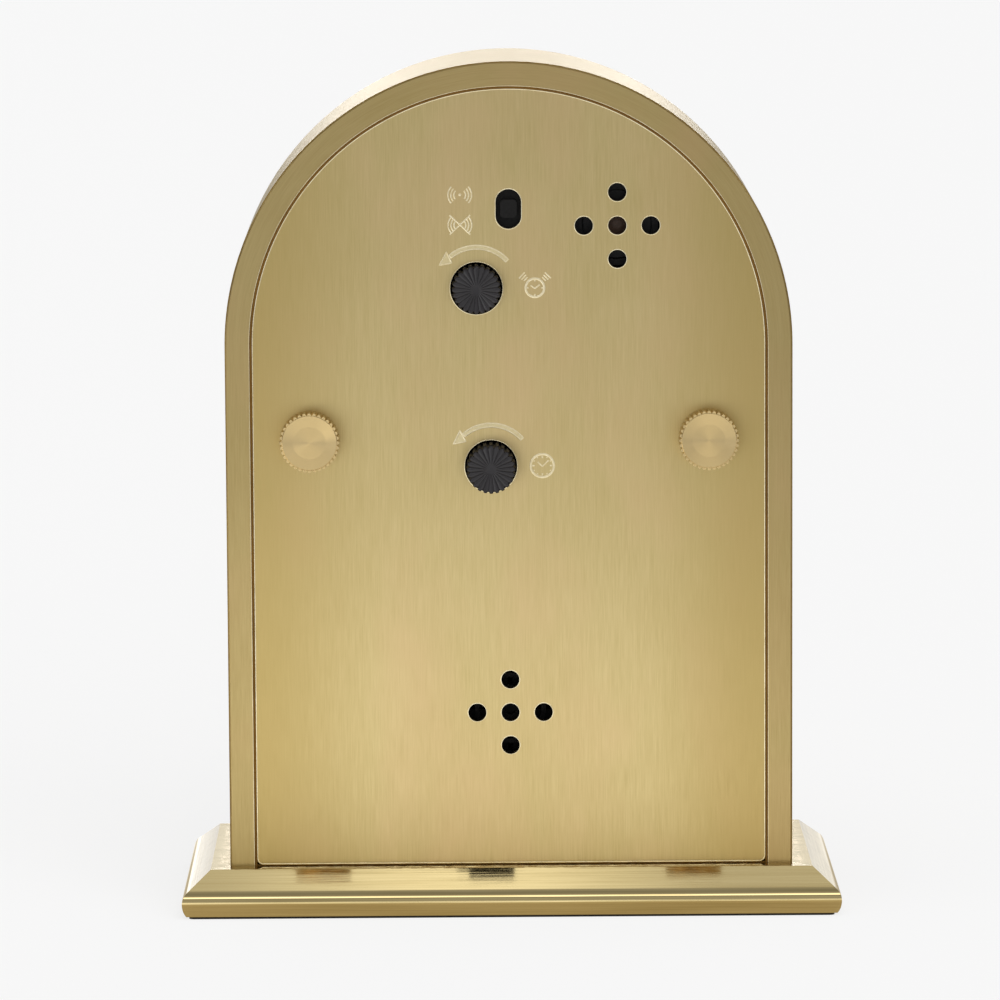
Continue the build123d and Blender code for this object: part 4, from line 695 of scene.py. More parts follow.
def felted(name, colour):
    """Wool felt: matt and hairy, with a soft sheen where fibres stand up."""
    surface = {"Roughness": 0.95, "Sheen Weight": 0.35, "Sheen Roughness": 0.6}
    pale = shade(colour, 2.4, lift=0.004)
    return mottled(name, colour, pale, (0.25,) * 3, 5.0, 0.12, surface)


def pulp(name, colour, centre):
    """Pressed paper pulp: dull and fibrous."""
    pale = shade(colour, 1.9)
    return mottled(name, colour, pale, (0.5,) * 3, 5.0, 0.08, {"Roughness": 0.85}, centre)


def clear_glass(name):
    """Float glass: clear with a faint green in its edge and a few polishing hairlines."""
    material, tree = new_material(name)
    clear = (0.97, 0.99, 0.98, 1.0)
    hair = add(tree, "MapRange", (grain(tree, (0.8, 2.0, 14.0), 4.0), 0.62, 0.85, 0.0, 0.06))
    pane = add(tree, "BsdfPrincipled", {
        "Transmission Weight": 1.0, "IOR": 1.46, "Roughness": hair, "Base Color": clear
    })
    shadow = add(tree, "LightPath", out="Is Shadow Ray")
    through = add(tree, "MixShader", (shadow, pane, add(tree, "BsdfTransparent", (clear,))))
    add(tree, "OutputMaterial", {"Surface": through})
    return material


def sounder_disc(name, dome, rim, centre):
    """A sounder's disc: its dome brown lacquered brass, its flat rim as black as the mouldings."""
    material, tree = new_material(name)
    _, radius = spokes(tree, centre)
    outside = add(tree, "MapRange", (radius, 3.0 * MM, 3.3 * MM, 0.0, 1.0))
    cloud = grain(tree, (1.2, 1.2, 1.2), 3.0)
    brown = add(tree, "Mix", {0: cloud, 6: dome, 7: shade(dome, 0.6)}, 2, data_type="RGBA")
    return shaded(material, cloud, 0.01, {
        "Roughness": 0.45, "Specular IOR Level": 0.3,
        "Base Color": add(tree, "Mix", {0: outside, 6: brown, 7: rim}, 2, data_type="RGBA"),
    })


def painted_dial(name, colour):
    """Sprayed satin enamel on metal: nearly even, with the least orange peel."""
    material, tree = new_material(name)
    cloud = add(tree, "MapRange", (grain(tree, (22.0,) * 3), 0.35, 0.75, 0.0, 1.0))
    warm = shade(colour, 0.97, 0.95, 0.9)
    return shaded(material, grain(tree, (0.9,) * 3), 0.006, {
        "Roughness": 0.42, "IOR": 1.5, "Coat Weight": 0.15,
        "Base Color": add(tree, "Mix", {0: cloud, 6: colour, 7: warm}, 2, data_type="RGBA"),
    })


def wound_wire(name, bright, dark):
    """Enamelled copper wire in tight turns: fine bright rings round the core, with painted shade
    in the gaps between them.
    """
    material, tree = new_material(name)
    place = add(tree, "TexCoord", out="Object")
    placed = add(tree, "Mapping", {"Vector": place, "Scale": (1.0, 1.0, 1 / (0.3 * MM))})
    turns = add(
        tree, "TexWave",
        {"Vector": placed, "Scale": 2 / TURN, "Distortion": 0.6, "Detail": 2.0}, "Fac",
        bands_direction="Z",
    )
    return shaded(material, turns, 0.05, {
        "Metallic": 0.85, "Roughness": 0.3, "Coat Weight": 0.5,
        "Base Color": add(tree, "Mix", {0: turns, 6: dark, 7: bright}, 2, data_type="RGBA"),
    })


def resist_board(name, colour):
    """Glass-epoxy board under solder resist: glossy green over a faint weave and copper runs."""
    material, tree = new_material(name)
    place = add(tree, "TexCoord", out="Object")
    placed = add(tree, "Mapping", {"Vector": place, "Scale": (1 / (1.6 * MM),) * 3})
    runs = add(tree, "TexBrick", {
        "Vector": placed, "Scale": 1.0, "Mortar Size": 0.06, "Mortar Smooth": 0.2,
        "Color1": (0, 0, 0, 1), "Color2": (0, 0, 0, 1), "Mortar": (1, 1, 1, 1),
    }, "Fac")
    pale = shade(colour, 1.7, lift=0.01)
    return shaded(material, grain(tree, (0.5,) * 3), 0.01, {
        "Roughness": 0.3, "IOR": 1.5, "Coat Weight": 0.4,
        "Base Color": add(tree, "Mix", {0: runs, 6: colour, 7: pale}, 2, data_type="RGBA"),
    })


# Dressing of the carried-over solids

def dress(material, *names):
    """Puts a material in every slot of the named solids."""
    for name in names:
        for slot in NODES[name].material_slots:
            slot.material = material


def middle_of(name):
    """The middle of a solid's box."""
    low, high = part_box(name)
    return tuple((low + high) / 2)


class ClockFinishCasing(bpy.types.Operator):
    """Gives the case, back plate, base and felt their brushed and polished finishes"""

    bl_idname = "clock.finish_casing"
    bl_label = "Finish the casing"

    def execute(self, context):
        brass = context.scene.clock_brass
        dress(brushed_brass(
            "brass_brushed_plate", brass.plate, brass.plate_worn, brass.plate_side_shade, brass.dark_brown,
            roughness=0.36, spread=0.6,
        ), "back_plate")
        dress(brushed_brass(
            "brass_brushed_case", brass.case, brass.case_dark, None, brass.dark_brown,
            roughness=0.32, spread=0.5,
        ), "case_shell", "dial_ring")
        dress(base_brass(
            "brass_buffed_base", brass.base, brass.base_dark, brass.base_spot, roughness=0.055
        ), "base_plinth")
        dress(felted("felt_wool", context.scene.clock_parts.felt), "base_felt")
        dress(turned_brass(
            "brass_milled_block", brass.inner, brass.case_dark, middle_of("screw_block_left"),
            roughness=0.3,
        ), "screw_block_left", "screw_block_right")
        return {"FINISHED"}


class ClockFinishScrews(bpy.types.Operator):
    """Gives the thumb screws, rings and small screws their turned finishes"""

    bl_idname = "clock.finish_screws"
    bl_label = "Finish the screws"

    def execute(self, context):
        brass = context.scene.clock_brass
        for side in ("left", "right"):
            node = "thumb_screw_" + side
            dress(turned_brass(
                "brass_turned_" + side, brass.screw, brass.case_dark, middle_of(node),
                roughness=0.24, pitch=0.09, spread=0.97, cut=0.07,
            ), node)
        dress(
            drawn_steel("steel_nickel_plated", context.scene.clock_parts.steel),
            "captive_ring_left", "captive_ring_right", "case_screws", "dial_screws",
            "movement_screws", "speaker_screws", "crystal_can", "motor_stator",
            "battery_contact_negative", "battery_contact_positive",
        )
        return {"FINISHED"}


class ClockFinishControls(bpy.types.Operator):
    """Gives the knobs, the slider and the black mouldings their moulded finishes"""

    bl_idname = "clock.finish_controls"
    bl_label = "Finish the knobs and mouldings"

    def execute(self, context):
        parts = context.scene.clock_parts
        # The knobs' solids take the flanks' painted shade, darker than the crowns.
        dress(moulded(
            "abs_knob", parts.knob_flank_shade, roughness=0.55, grit=0.3, depth=0.008,
            extra={"Specular IOR Level": 0.15},
        ), "time_set_knob", "alarm_set_knob")
        dress(moulded(
            "abs_slider", parts.slider, roughness=0.65, grit=0.3, depth=0.006,
            extra={"Specular IOR Level": 0.25},
        ), "switch_slider")
        dress(
            moulded("abs_body", parts.body, roughness=0.55, extra={"Specular IOR Level": 0.3}),
            "movement_rear_case", "movement_front_plate", "switch_body", "buzzer",
            "battery_holder", "speaker_box", "speaker_grille", "speaker_basket",
        )
        dress(moulded(
            "rubber_gasket", parts.gasket, roughness=0.75, grit=0.6, depth=0.02
        ), "lens_gasket")
        return {"FINISHED"}


class ClockFinishMovement(bpy.types.Operator):
    """Gives the gear train, motor, board, sounder, cell and speaker their finishes"""

    bl_idname = "clock.finish_movement"
    bl_label = "Finish the movement"

    def execute(self, context):
        brass = context.scene.clock_brass
        parts = context.scene.clock_parts
        dress(
            moulded(
                "acetal_gear", parts.gear, roughness=0.38, grit=0.5, depth=0.004, light=0.97,
                extra={"Subsurface Weight": 0.08},
            ),
            "hour_wheel", "cannon_pinion", "motion_wheel", "centre_wheel", "third_wheel",
            "fifth_wheel", "second_wheel", "alarm_wheel", "train_front_plate",
            "train_rear_plate", "time_set_arbor", "alarm_set_arbor",
        )
        dress(turned_brass(
            "brass_turned_bush", brass.inner, brass.case_dark, middle_of("shaft_bush"),
            roughness=0.25,
        ), "shaft_bush", "bush_washer", "bush_nut", "train_pillars")
        dress(moulded(
            "ferrite_magnet", parts.magnet, roughness=0.45, grit=0.2, depth=0.01
        ), "motor_rotor")
        dress(wound_wire("copper_enamelled", parts.wire, parts.wire_gap_shade), "motor_coil")
        dress(resist_board("epoxy_board", parts.board), "circuit_board")
        dress(sounder_disc(
            "brass_lacquered_disc", parts.disc, parts.body, middle_of("buzzer_dome")
        ), "buzzer_dome")
        dress(moulded(
            "pvc_cell_sleeve", parts.cell, roughness=0.25, grit=2.0, depth=0.02, light=1.2,
            extra={"Coat Weight": 0.4},
        ), "battery_cell")
        dress(pulp("paper_cone", parts.cone, middle_of("speaker_cone")), "speaker_cone")
        return {"FINISHED"}


class ClockFinishDial(bpy.types.Operator):
    """Gives the bezel, glass, dial and hands their finishes"""

    bl_idname = "clock.finish_dial"
    bl_label = "Finish the dial and hands"

    def execute(self, context):
        brass = context.scene.clock_brass
        parts = context.scene.clock_parts
        dress(turned_brass(
            "brass_polished_bezel", brass.ring, brass.inner, middle_of("bezel"),
            roughness=0.12, pitch=0.6, spread=0.4,
        ), "bezel")
        dress(clear_glass("glass_lens"), "lens")
        dress(painted_dial("enamel_dial", parts.dial), "dial_plate")
        along = (4.0, 1.0, 0.3)
        dress(
            polished_brass(
                "steel_blacked_hand", parts.hand, parts.hand_dark, roughness=0.28, streak=along
            ),
            "hour_hand", "minute_hand", "second_hand",
        )
        dress(polished_brass(
            "brass_gilt_hand", brass.ring, brass.inner, roughness=0.22, streak=along
        ), "alarm_hand")
        return {"FINISHED"}


# Signs on the back plate

def plate_place(right, up):
    """A place on the back plate, in millimetres right of its middle as seen and above the base."""
    return (-right * MM, BASE_HIGH.z + up * MM)


def sign_line(path, look, closed=False, width=None):
    """A sign's line: a low crown carried along a path on the plate."""
    section = crown(width or look.line, look.proud, SINK)
    return carried(path, sideways(path, closed), section, closed)


def stroke(centre, start, end, look):
    """A straight line between two places given in millimetres right of a sign's centre and up."""
    ends = [(centre[0] - right * MM, centre[1] + up * MM) for right, up in (start, end)]
    return sign_line(straight(*ends, PLATE_Y), look)


def sound_arcs(centre, look):
    """Three arcs each side of a dot, evenly stepped outwards."""
    lines = []
    for share in ARC_SHARES:
        for middle in (0, 180):
            ends = middle - ARC_HALF, middle + ARC_HALF
            path = arc_path(centre, look.sound_radius * share, *ends, ARC_STEPS, PLATE_Y)
            lines.append(sign_line(path, look))
    dot = np.array(DOT) * MM + (0.0, PLATE_Y)
    return lines + [spun(dot, centre, DOT_STEPS)]


def turning_arrow(centre, radius, start_deg, end_deg, look):
    """The lines and the etched fill of an arrow: a band along an arc and a pointed head."""
    half = look.arrow_band / 2
    high = look.proud * ETCHED_SHARE
    middle = arc_path(centre, radius, start_deg, end_deg, ARROW_STEPS, PLATE_Y)
    fill = oblong(-half, half, -SINK, high)
    outer = arc_path(centre, radius + half, start_deg, end_deg, ARROW_STEPS, PLATE_Y)
    inner = arc_path(centre, radius - half, end_deg, start_deg, ARROW_STEPS, PLATE_Y)
    corners = [
        arc_path(centre, radius + step * MM, end_deg - turn, end_deg, 2, PLATE_Y)[0][[0, 2]]
        for step, turn in ARROW_HEAD
    ]
    head = np.concatenate([
        straight(corners[i], corners[(i + 1) % 3], PLATE_Y, HEAD_STEPS)[:-1] for i in range(3)
    ])
    lines = [sign_line(np.concatenate((outer, inner)), look, True), sign_line(head, look, True)]
    fills = [
        carried(middle, sideways(middle, False), fill, False),
        prism(head, PLATE_Y - SINK, PLATE_Y + high),
    ]
    return lines, fills


def small_dial(centre, radius, look, ticks, hand_ends):
    """A clock sign: a ring, ticks inside it and two hands."""
    path = ring_path(centre, radius - look.ring / 2, SIGN_STEPS, PLATE_Y)
    lines = [sign_line(path, look, True, look.ring)]
    scale = radius / MM
    for tick in range(ticks):
        angle = TURN * tick / ticks
        inside = QUARTER_TICK if tick % (ticks // 4) == 0 else TICK
        unit = np.array((math.cos(angle), math.sin(angle)))
        lines.append(stroke(centre, unit * scale * inside, unit * scale * TICK_END, look))
    for end in hand_ends:
        lines.append(stroke(centre, (0, -HAND_TAIL * scale), np.array(end) * scale, look))
    return lines


def ringing_bells(centre, look):
    """Three strokes over each shoulder of the alarm clock sign, each longer than the last."""
    lines = []
    for lean in BELL_LEANS:
        unit = np.array((math.cos(math.radians(lean)), math.sin(math.radians(lean))))
        across = np.array((-unit[1], unit[0]))
        for distance, half in BELL_STROKES:
            ends = (unit * distance - across * half, unit * distance + across * half)
            lines.append(stroke(centre, *ends, look))
    return lines


class ClockRaiseSigns(bpy.types.Operator):
    """Raises the sound, turning and clock signs on the back plate"""

    bl_idname = "clock.raise_signs"
    bl_label = "Raise the signs"

    def execute(self, context):
        look = context.scene.clock_signs
        brass = context.scene.clock_brass
        # The raised lines' pale colour is a painted highlight.
        cut = polished_brass(
            "brass_sign_glint", brass.mark, brass.plate, roughness=0.42, streak=(0.5,) * 3
        )
        etched = polished_brass(
            "brass_etched_band", brass.etched, brass.plate, roughness=0.42, streak=(0.4,) * 3
        )
        off, ringing = plate_place(*SOUND_OFF), plate_place(*RINGING_CLOCK)
        right, up = CROSS
        cross = [stroke(off, (-x, up), (x, -up), look) for x in (right, -right)]
        signs = {
            "sign_sound_on": sound_arcs(plate_place(*SOUND_ON), look),
            "sign_sound_off": sound_arcs(off, look) + cross,
            "sign_alarm_clock": ringing_bells(ringing, look)
            + small_dial(ringing, look.alarm_dial, look, 4, ALARM_HANDS),
            "sign_clock": small_dial(
                plate_place(*PLAIN_CLOCK), look.clock_dial, look, 12, PLAIN_HANDS
            ),
        }
        for name, node, radius, ends in (
            ("sign_turn_alarm", "alarm_set_knob", look.alarm_arrow, ALARM_ARROW),
            ("sign_turn_time", "time_set_knob", look.time_arrow, TIME_ARROW),
        ):
            signs[name], fills = turning_arrow(middle_of(node)[::2], radius, *ends, look)
            add_piece(name + "_band", fills, etched, "back_plate")
        for name, lines in signs.items():
            add_piece(name, lines, cut, "back_plate")
        return {"FINISHED"}


# Broken edges

def lip_section(look, width):
    """The broken edge's section, first number away from the hole and second above the plate."""
    proud, depth = look.lip_proud, look.lip_depth
    return np.array((
        (width, -0.02 * MM),
        (width * 0.75, proud * 0.7),
        (width * 0.35, proud),
        (0.0, proud * 0.3),
        (-proud, -proud * 2),
        (-proud, -depth),
        (width * 0.5, -depth),
    ))


def hole_lip(path, centre, look):
    """The broken edge of a hole: the lip's section carried round it, pointing outwards."""
    return carried(path, outwards(path, True, centre), lip_section(look, look.lip), True)


class ClockBreakEdges(bpy.types.Operator):
    """Puts the bright broken edges round the back plate and its holes"""

    bl_idname = "clock.break_edges"
    bl_label = "Break the edges"

    def execute(self, context):
        look = context.scene.clock_edges
        brass = context.scene.clock_brass
        # Painted highlight: the broken edges take the signs' pale colour over their real chamfer.
        bright = polished_brass(
            "brass_broken_edge", brass.mark, brass.plate, roughness=0.22, streak=(3.0,) * 3
        )
        lips = []
        for x, z in (plate_place(*middle) for middle in VENTS):
            for right, up in ((0, 0), (1, 0), (-1, 0), (0, 1), (0, -1)):
                place = (x + right * look.vent_pitch, z + up * look.vent_pitch)
                path = ring_path(place, look.vent, VENT_STEPS, PLATE_Y)
                lips.append(hole_lip(path, place, look))
        for node in ("alarm_set_knob", "time_set_knob"):
            place = middle_of(node)[::2]
            path = ring_path(place, look.knob_hole, KNOB_STEPS, PLATE_Y)
            lips.append(hole_lip(path, place, look))
        slot = plate_place(*SLOT)
        outline = slot_path(slot, look.slot_width, look.slot_height, SLOT_STEPS)
        lips.append(hole_lip(outline, slot, look))
        add_piece("plate_hole_lips", lips, bright, "back_plate")
        outline = plate_outline(PLATE_STEPS)
        inwards = -outwards(outline, True, (0.0, ARCH_Z))
        rim = carried(outline, inwards, lip_section(look, look.rim_lip), True)
        add_piece("plate_rim_lip", [rim], bright, "back_plate")
        opening = arch_path(PLATE_HALF + look.gap, PLATE_STEPS)
        side = outwards(opening, False, (0.0, ARCH_Z))
        lip = carried(opening, side, lip_section(look, look.rim_lip / 2), False)
        add_piece("case_opening_lip", [lip], bright, "root")
        # Painted shade: brown strips in the groove beside and under the plate stand in for its
        # shade.
        groove_shade_fill = moulded("groove_painted_shade", brass.groove_shade_fill, roughness=0.8, grit=0.4, depth=0.02)
        beside = carried(opening, -side, oblong(*GROOVE_FILL_BESIDE) * MM, False)
        level = FOOT + GROOVE_FILL_UNDER[1] * MM
        under = straight((-PLATE_HALF, level), (PLATE_HALF, level), PLATE_Y, SIDE_STEPS)
        under = carried(under, sideways(under, False), oblong(*GROOVE_FILL_UNDER) * MM, False)
        add_piece("case_groove_shade_fill", [beside, under], groove_shade_fill, "root")
        # A dark line drawn along the case's rear corner.
        outer = arch_path(CASE_HIGH.x - look.corner_inset, RIM_STEPS)
        section = crown(look.corner_line, look.lip_proud, SINK)
        line = carried(outer, sideways(outer, False), section, False)
        corner_dark = polished_brass(
            "brass_dark_corner_line", brass.dark_brown, brass.base_dark, roughness=0.45,
            streak=(30.0, 0.5, 0.4),
        )
        add_piece("case_rim_line", [line], corner_dark, "root")
        return {"FINISHED"}


class ClockGuardSlot(bpy.types.Operator):
    """Puts the skirt that closes the slot on the alarm switch's slider, behind the plate"""

    bl_idname = "clock.guard_slot"
    bl_label = "Guard the slot"

    def execute(self, context):
        look = context.scene.clock_edges
        middle = middle_of("switch_slider")[::2]
        ring = slot_path(middle, look.skirt_width, look.skirt_height, SLOT_STEPS)
        skirt = prism(ring, *(PLATE_LOW.y - behind for behind in SKIRT_BEHIND))
        black = moulded(
            "abs_slider_skirt", context.scene.clock_parts.skirt, roughness=0.6,
            extra={"Specular IOR Level": 0.25},
        )
        add_piece("switch_slider_skirt", [skirt], black, "switch_slider")
        return {"FINISHED"}


def knob_crown(centre, face, rim, look):
    """A knob's ribbed face: petals that rise and widen from a plain centre to a scalloped edge.

    At each angle the lobe is one over a rib and nought in a valley; it sets both the edge's
    radius and, times the square root of the way out, the height.
    """
    ribs, steps = 24, 14
    angle = np.linspace(0, TURN, ribs * 10, endpoint=False)
    lobe = np.abs(np.cos(ribs / 2 * angle)) ** 0.8
    edge = rim - look.shoulder - look.scallop * (1 - lobe)
    share = np.concatenate((np.linspace(0, 0.95, steps), (1.0, 1.0, 0.0)))
    drop = np.concatenate((np.zeros(steps), (look.shoulder, look.crown_foot, look.crown_foot)))
    out = share[:, None] * edge
    rise = np.clip((out - look.dimple) / (rim - look.dimple), 0, 1)
    rib = look.rib * lobe * np.sqrt(rise)
    rib[-2:] = 0
    y = face + CROWN_LIFT + rib - drop[:, None]
    grid = (centre[0] + out * np.cos(angle), y, centre[1] + out * np.sin(angle))
    return np.stack(grid, -1), False, True


class ClockRibKnobs(bpy.types.Operator):
    """Puts the ribbed crowns on the setting knobs"""

    bl_idname = "clock.rib_knobs"
    bl_label = "Rib the knobs"

    def execute(self, context):
        look = context.scene.clock_edges
        ribbed = moulded(
            "abs_knob_crown", context.scene.clock_parts.knob, roughness=0.36, grit=0.3, depth=0.005
        )
        for node in ("alarm_set_knob", "time_set_knob"):
            low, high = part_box(node)
            centre = ((low.x + high.x) / 2, (low.z + high.z) / 2)
            patch = knob_crown(centre, high.y, (high.x - low.x) / 2, look)
            add_piece(node + "_crown", [patch], ribbed, node, 25)
        return {"FINISHED"}


# Dial print

def inked(corners, y):
    """A quad of ink from its four corners in the XZ plane and its two heights along Y."""
    return prism(np.stack((corners[:, 0], np.zeros(4), corners[:, 1]), -1), *y)


NUMERALS = ("XII", "I", "II", "III", "IIII", "V", "VI", "VII", "VIII", "IX", "X", "XI")
# Each letter's width, and its bars as the place of the top, of the foot and the thickness.
STROKES = {
    "I": (0.34, ((0.5, 0.5, 0.16),)),
    "V": (0.78, ((0.06, 0.5, 0.17), (0.94, 0.5, 0.06))),
    "X": (0.8, ((0.06, 0.94, 0.17), (0.94, 0.06, 0.06))),
}
# Shares of a numeral's height: a letter one wide, half a bar one thick and a serif's overhang.
LETTER, BAR, SERIF = 0.62, 0.35, 0.035
# Where a serif's inner edge lies, from nought at a letter's middle to one at its end.
SERIF_EDGE = 0.93
# Half widths of the minute track's bars, as shares of the width of its circles.
FIVE_MINUTES, ONE_MINUTE = 1.6, 0.6


def numeral(text, hour, look, y):
    """A Roman numeral on the dial: slanted bars between two serif lines, turned to its hour."""
    height = look.numeral_height
    widths = [STROKES[letter][0] * height * LETTER for letter in text]
    left = -sum(widths) / 2
    quads = []
    for letter, width in zip(text, widths):
        for top, low, thick in STROKES[letter][1]:
            half = thick * height * BAR
            reach = half + SERIF * height
            a, b = left + top * width, left + low * width
            quads.append(((a - half, 1), (a + half, 1), (b + half, -1), (b - half, -1)))
            for x, v in ((a, 1), (b, -1)):
                near, far = x - reach, x + reach
                edge = v * SERIF_EDGE
                quads.append(((near, v), (far, v), (far, edge), (near, edge)))
        left += width
    turn = -TURN * hour / 12
    made = []
    for quad in quads:
        across, up = (np.array(quad) * (1.0, height / 2) + (0.0, look.numeral_radius)).T
        x = across * math.cos(turn) - up * math.sin(turn)
        z = across * math.sin(turn) + up * math.cos(turn)
        made.append(inked(np.stack((x, z + ARCH_Z), -1), y))
    return made


class ClockPrintDial(bpy.types.Operator):
    """Prints the numerals and the minute track on the dial"""

    bl_idname = "clock.print_dial"
    bl_label = "Print the dial"

    def execute(self, context):
        look = context.scene.clock_dial
        ink = moulded(
            "ink_pad_printed", context.scene.clock_parts.print_ink, roughness=0.5, grit=0.4,
            depth=0.002,
        )
        y = (DIAL_Y - look.ink, DIAL_Y + look.ink / 2)
        section = oblong(-look.line / 2, look.line / 2, look.ink / 2, -look.ink)
        track = []
        for radius in (look.track_outer, look.track_inner):
            path = ring_path((0.0, ARCH_Z), radius, TRACK_STEPS, DIAL_Y)
            track.append(carried(path, sideways(path, True), section, True))
        middle = np.array((0.0, ARCH_Z))
        for minute in range(60):
            angle = TURN * minute / 60
            out = np.array((math.cos(angle), math.sin(angle)))
            half = look.line * (ONE_MINUTE if minute % 5 else FIVE_MINUTES)
            across = np.array((-out[1], out[0])) * half
            near, far = middle + out * look.track_inner, middle + out * look.track_outer
            quad = np.array((near - across, near + across, far + across, far - across))
            track.append(inked(quad, y))
        add_piece("dial_minute_track", track, ink, "root")
        figures = [
            quad for hour, text in enumerate(NUMERALS) for quad in numeral(text, hour, look, y)
        ]
        add_piece("dial_numerals", figures, ink, "root")
        return {"FINISHED"}


class ClockSetStage(bpy.types.Operator):
    """Sets the floor, the backdrop's light, the lamps and the camera"""

    bl_idname = "clock.set_stage"
    bl_label = "Set the stage"

    def execute(self, context):
        look = context.scene.clock_stage
        half = look.floor_half
        mesh = bpy.data.meshes.new("floor")
        corners = [(-half, -half, 0), (half, -half, 0), (half, half, 0), (-half, half, 0)]
        mesh.from_pydata(corners, [], [(0, 1, 2, 3)])
        mesh.materials.append(self.paper_floor(look.paper))
        floor = bpy.data.objects.new("floor", mesh)
        context.scene.collection.objects.link(floor)
        context.scene.world = self.paper_world(look.paper)
        self.lamps(context.scene)
        self.camera(context.scene, look)
        context.scene.view_settings.view_transform = "Standard"
        return {"FINISHED"}

    def paper_floor(self, colour):
        """Matt white paper: lit for shadows, and mostly its own colour to the camera.

        To metal it is lit like a table under a lamp: brighter near the clock, dim in the clock's
        own shade, with a dim and a bright band in front, a bright patch far behind, and a painted
        warm reflection of the brass on the paper beside it. Distances are in metres.
        """
        material, tree = new_material("paper_floor")
        camera = add(tree, "LightPath", out="Is Camera Ray")
        glossy = add(tree, "LightPath", out="Is Glossy Ray")
        through = add(tree, "LightPath", out="Is Transmission Ray")
        seen = add(tree, "Math", (camera, glossy), operation="MAXIMUM")
        seen = add(tree, "Math", (seen, through), operation="MAXIMUM")
        share = add(tree, "Math", (seen, OWN_COLOUR), operation="MULTIPLY")
        speck = grain(tree, (2.5,) * 3, 3.0)
        sheet = {0: speck, 6: colour, 7: shade(colour, 0.985)}
        matt = add(tree, "BsdfDiffuse", {
            "Color": add(tree, "Mix", sheet, 2, data_type="RGBA"), "Roughness": 1.0
        })
        place = add(tree, "TexCoord", out="Object")
        away = add(tree, "VectorMath", (place,), "Value", operation="LENGTH")
        x, y, _ = add(tree, "SeparateXYZ", (place,), EVERY)
        aside = add(tree, "Math", (x,), operation="ABSOLUTE")
        ahead = add(tree, "Math", (y,), operation="ABSOLUTE")
        bands = add(tree, "Math", (
            add(tree, "MapRange", (y, 0.4, 0.66, 1.0, 0.45)),
            add(tree, "MapRange", (y, 0.84, 0.95, 0.0, 0.5)),
        ), operation="ADD")
        patch = add(tree, "Math", (
            add(tree, "MapRange", (y, -1.5, -0.5, 4.2, 1.0)),
            add(tree, "MapRange", (aside, 0.12, 0.2, 1.0, 0.2)),
        ), operation="MULTIPLY")
        uneven = add(tree, "Math", (
            add(tree, "MapRange", (x, 0.06, 0.15, 1.0, 1.6)),
            add(tree, "MapRange", (x, -0.1, -0.06, -0.2, 0.0)),
        ), operation="ADD")
        level = add(tree, "MapRange", (away, 0.15, 1.5, 1.45, 0.6))
        for part in (
            add(tree, "MapRange", (ahead, 0.035, 0.12, 0.36, 1.0)),
            bands,
            add(tree, "Math", (patch, 1.0), operation="MAXIMUM"),
            uneven,
        ):
            level = add(tree, "Math", (level, part), operation="MULTIPLY")
        colours = colour
        # To metal the paper is tinted cool far ahead and warm beside the brass; the warm tint is
        # painted reflected light from the brass.
        for low, high, start, end, tone in (
            (0.3, 0.8, 0.0, 1.0, shade(colour, 0.97, 1.0, 1.1)),
            (0.04, 0.1, 1.0, 0.0, shade(colour, 1.0, 0.84, 0.55)),
        ):
            there = add(tree, "MapRange", (ahead, low, high, start, end))
            there = add(tree, "Math", (there, glossy), operation="MULTIPLY")
            colours = add(tree, "Mix", {0: there, 6: colours, 7: tone}, 2, data_type="RGBA")
        strength = add(tree, "Mix", {0: camera, 2: level, 3: 1.0}, data_type="FLOAT")
        glow = add(tree, "Emission", {"Color": colours, "Strength": strength})
        add(tree, "OutputMaterial", {"Surface": add(tree, "MixShader", (share, matt, glow))})
        return material

    def paper_world(self, colour):
        """White paper behind the clock, a dimmer room behind the camera, and a soft fill light.

        Metal sees the room's levels ahead, an even backdrop with a bright patch low down behind,
        and a lamp's glow overhead that dims to both sides.
        """
        world = bpy.data.worlds.new("paper_room")
        world.use_nodes = True
        tree = world.node_tree
        tree.nodes.clear()
        x, y, z = add(tree, "SeparateXYZ", (add(tree, "TexCoord", out="Generated"),), EVERY)
        aside = add(tree, "Math", (x,), operation="ABSOLUTE")
        ramp = add(tree, "ValToRGB", (z,))
        stops = ramp.node.color_ramp.elements
        stops[0].position, stops[1].position = ROOM_LEVELS[0][0], ROOM_LEVELS[-1][0]
        for place, _ in ROOM_LEVELS[1:-1]:
            stops.new(place)
        brightest = max(level for _, level in ROOM_LEVELS)
        for stop, (_, level) in zip(stops, ROOM_LEVELS):
            stop.color = (level / brightest,) * 3 + (1.0,)
        front = add(tree, "Math", (ramp, brightest), operation="MULTIPLY")
        patch = add(tree, "Math", (
            add(tree, "MapRange", (z, 0.07, 0.16, 1.0, 0.0)),
            add(tree, "MapRange", (aside, 0.1, 0.16, 6.0, -0.4)),
        ), operation="MULTIPLY")
        back = add(tree, "Math", (patch, 1.0), operation="ADD")
        ahead = add(tree, "MapRange", (y, -0.45, 0.25, 0.0, 1.0))
        low = add(tree, "Mix", {0: ahead, 2: back, 3: front}, data_type="FLOAT")
        above = add(tree, "Math", (
            add(tree, "MapRange", (z, 0.7, 0.93, 0.0, 1.0)),
            add(tree, "MapRange", (y, 0.05, 0.12, 1.0, 0.0)),
        ), operation="MULTIPLY")
        over = add(tree, "MapRange", (aside, 0.01, 0.04, 1.4, 0.72))
        whole = add(tree, "Mix", {0: above, 2: low, 3: over}, data_type="FLOAT")
        dimmer = add(tree, "MapRange", (aside, 0.1, 0.9, 1.0, 0.55))
        room = add(tree, "Math", (whole, dimmer), operation="MULTIPLY")
        glossy = add(tree, "Math", (
            add(tree, "LightPath", out="Is Glossy Ray"),
            add(tree, "LightPath", out="Is Transmission Ray"),
        ), operation="MAXIMUM")
        lit = add(tree, "Mix", {0: glossy, 2: FILL, 3: room}, data_type="FLOAT")
        camera = add(tree, "LightPath", out="Is Camera Ray")
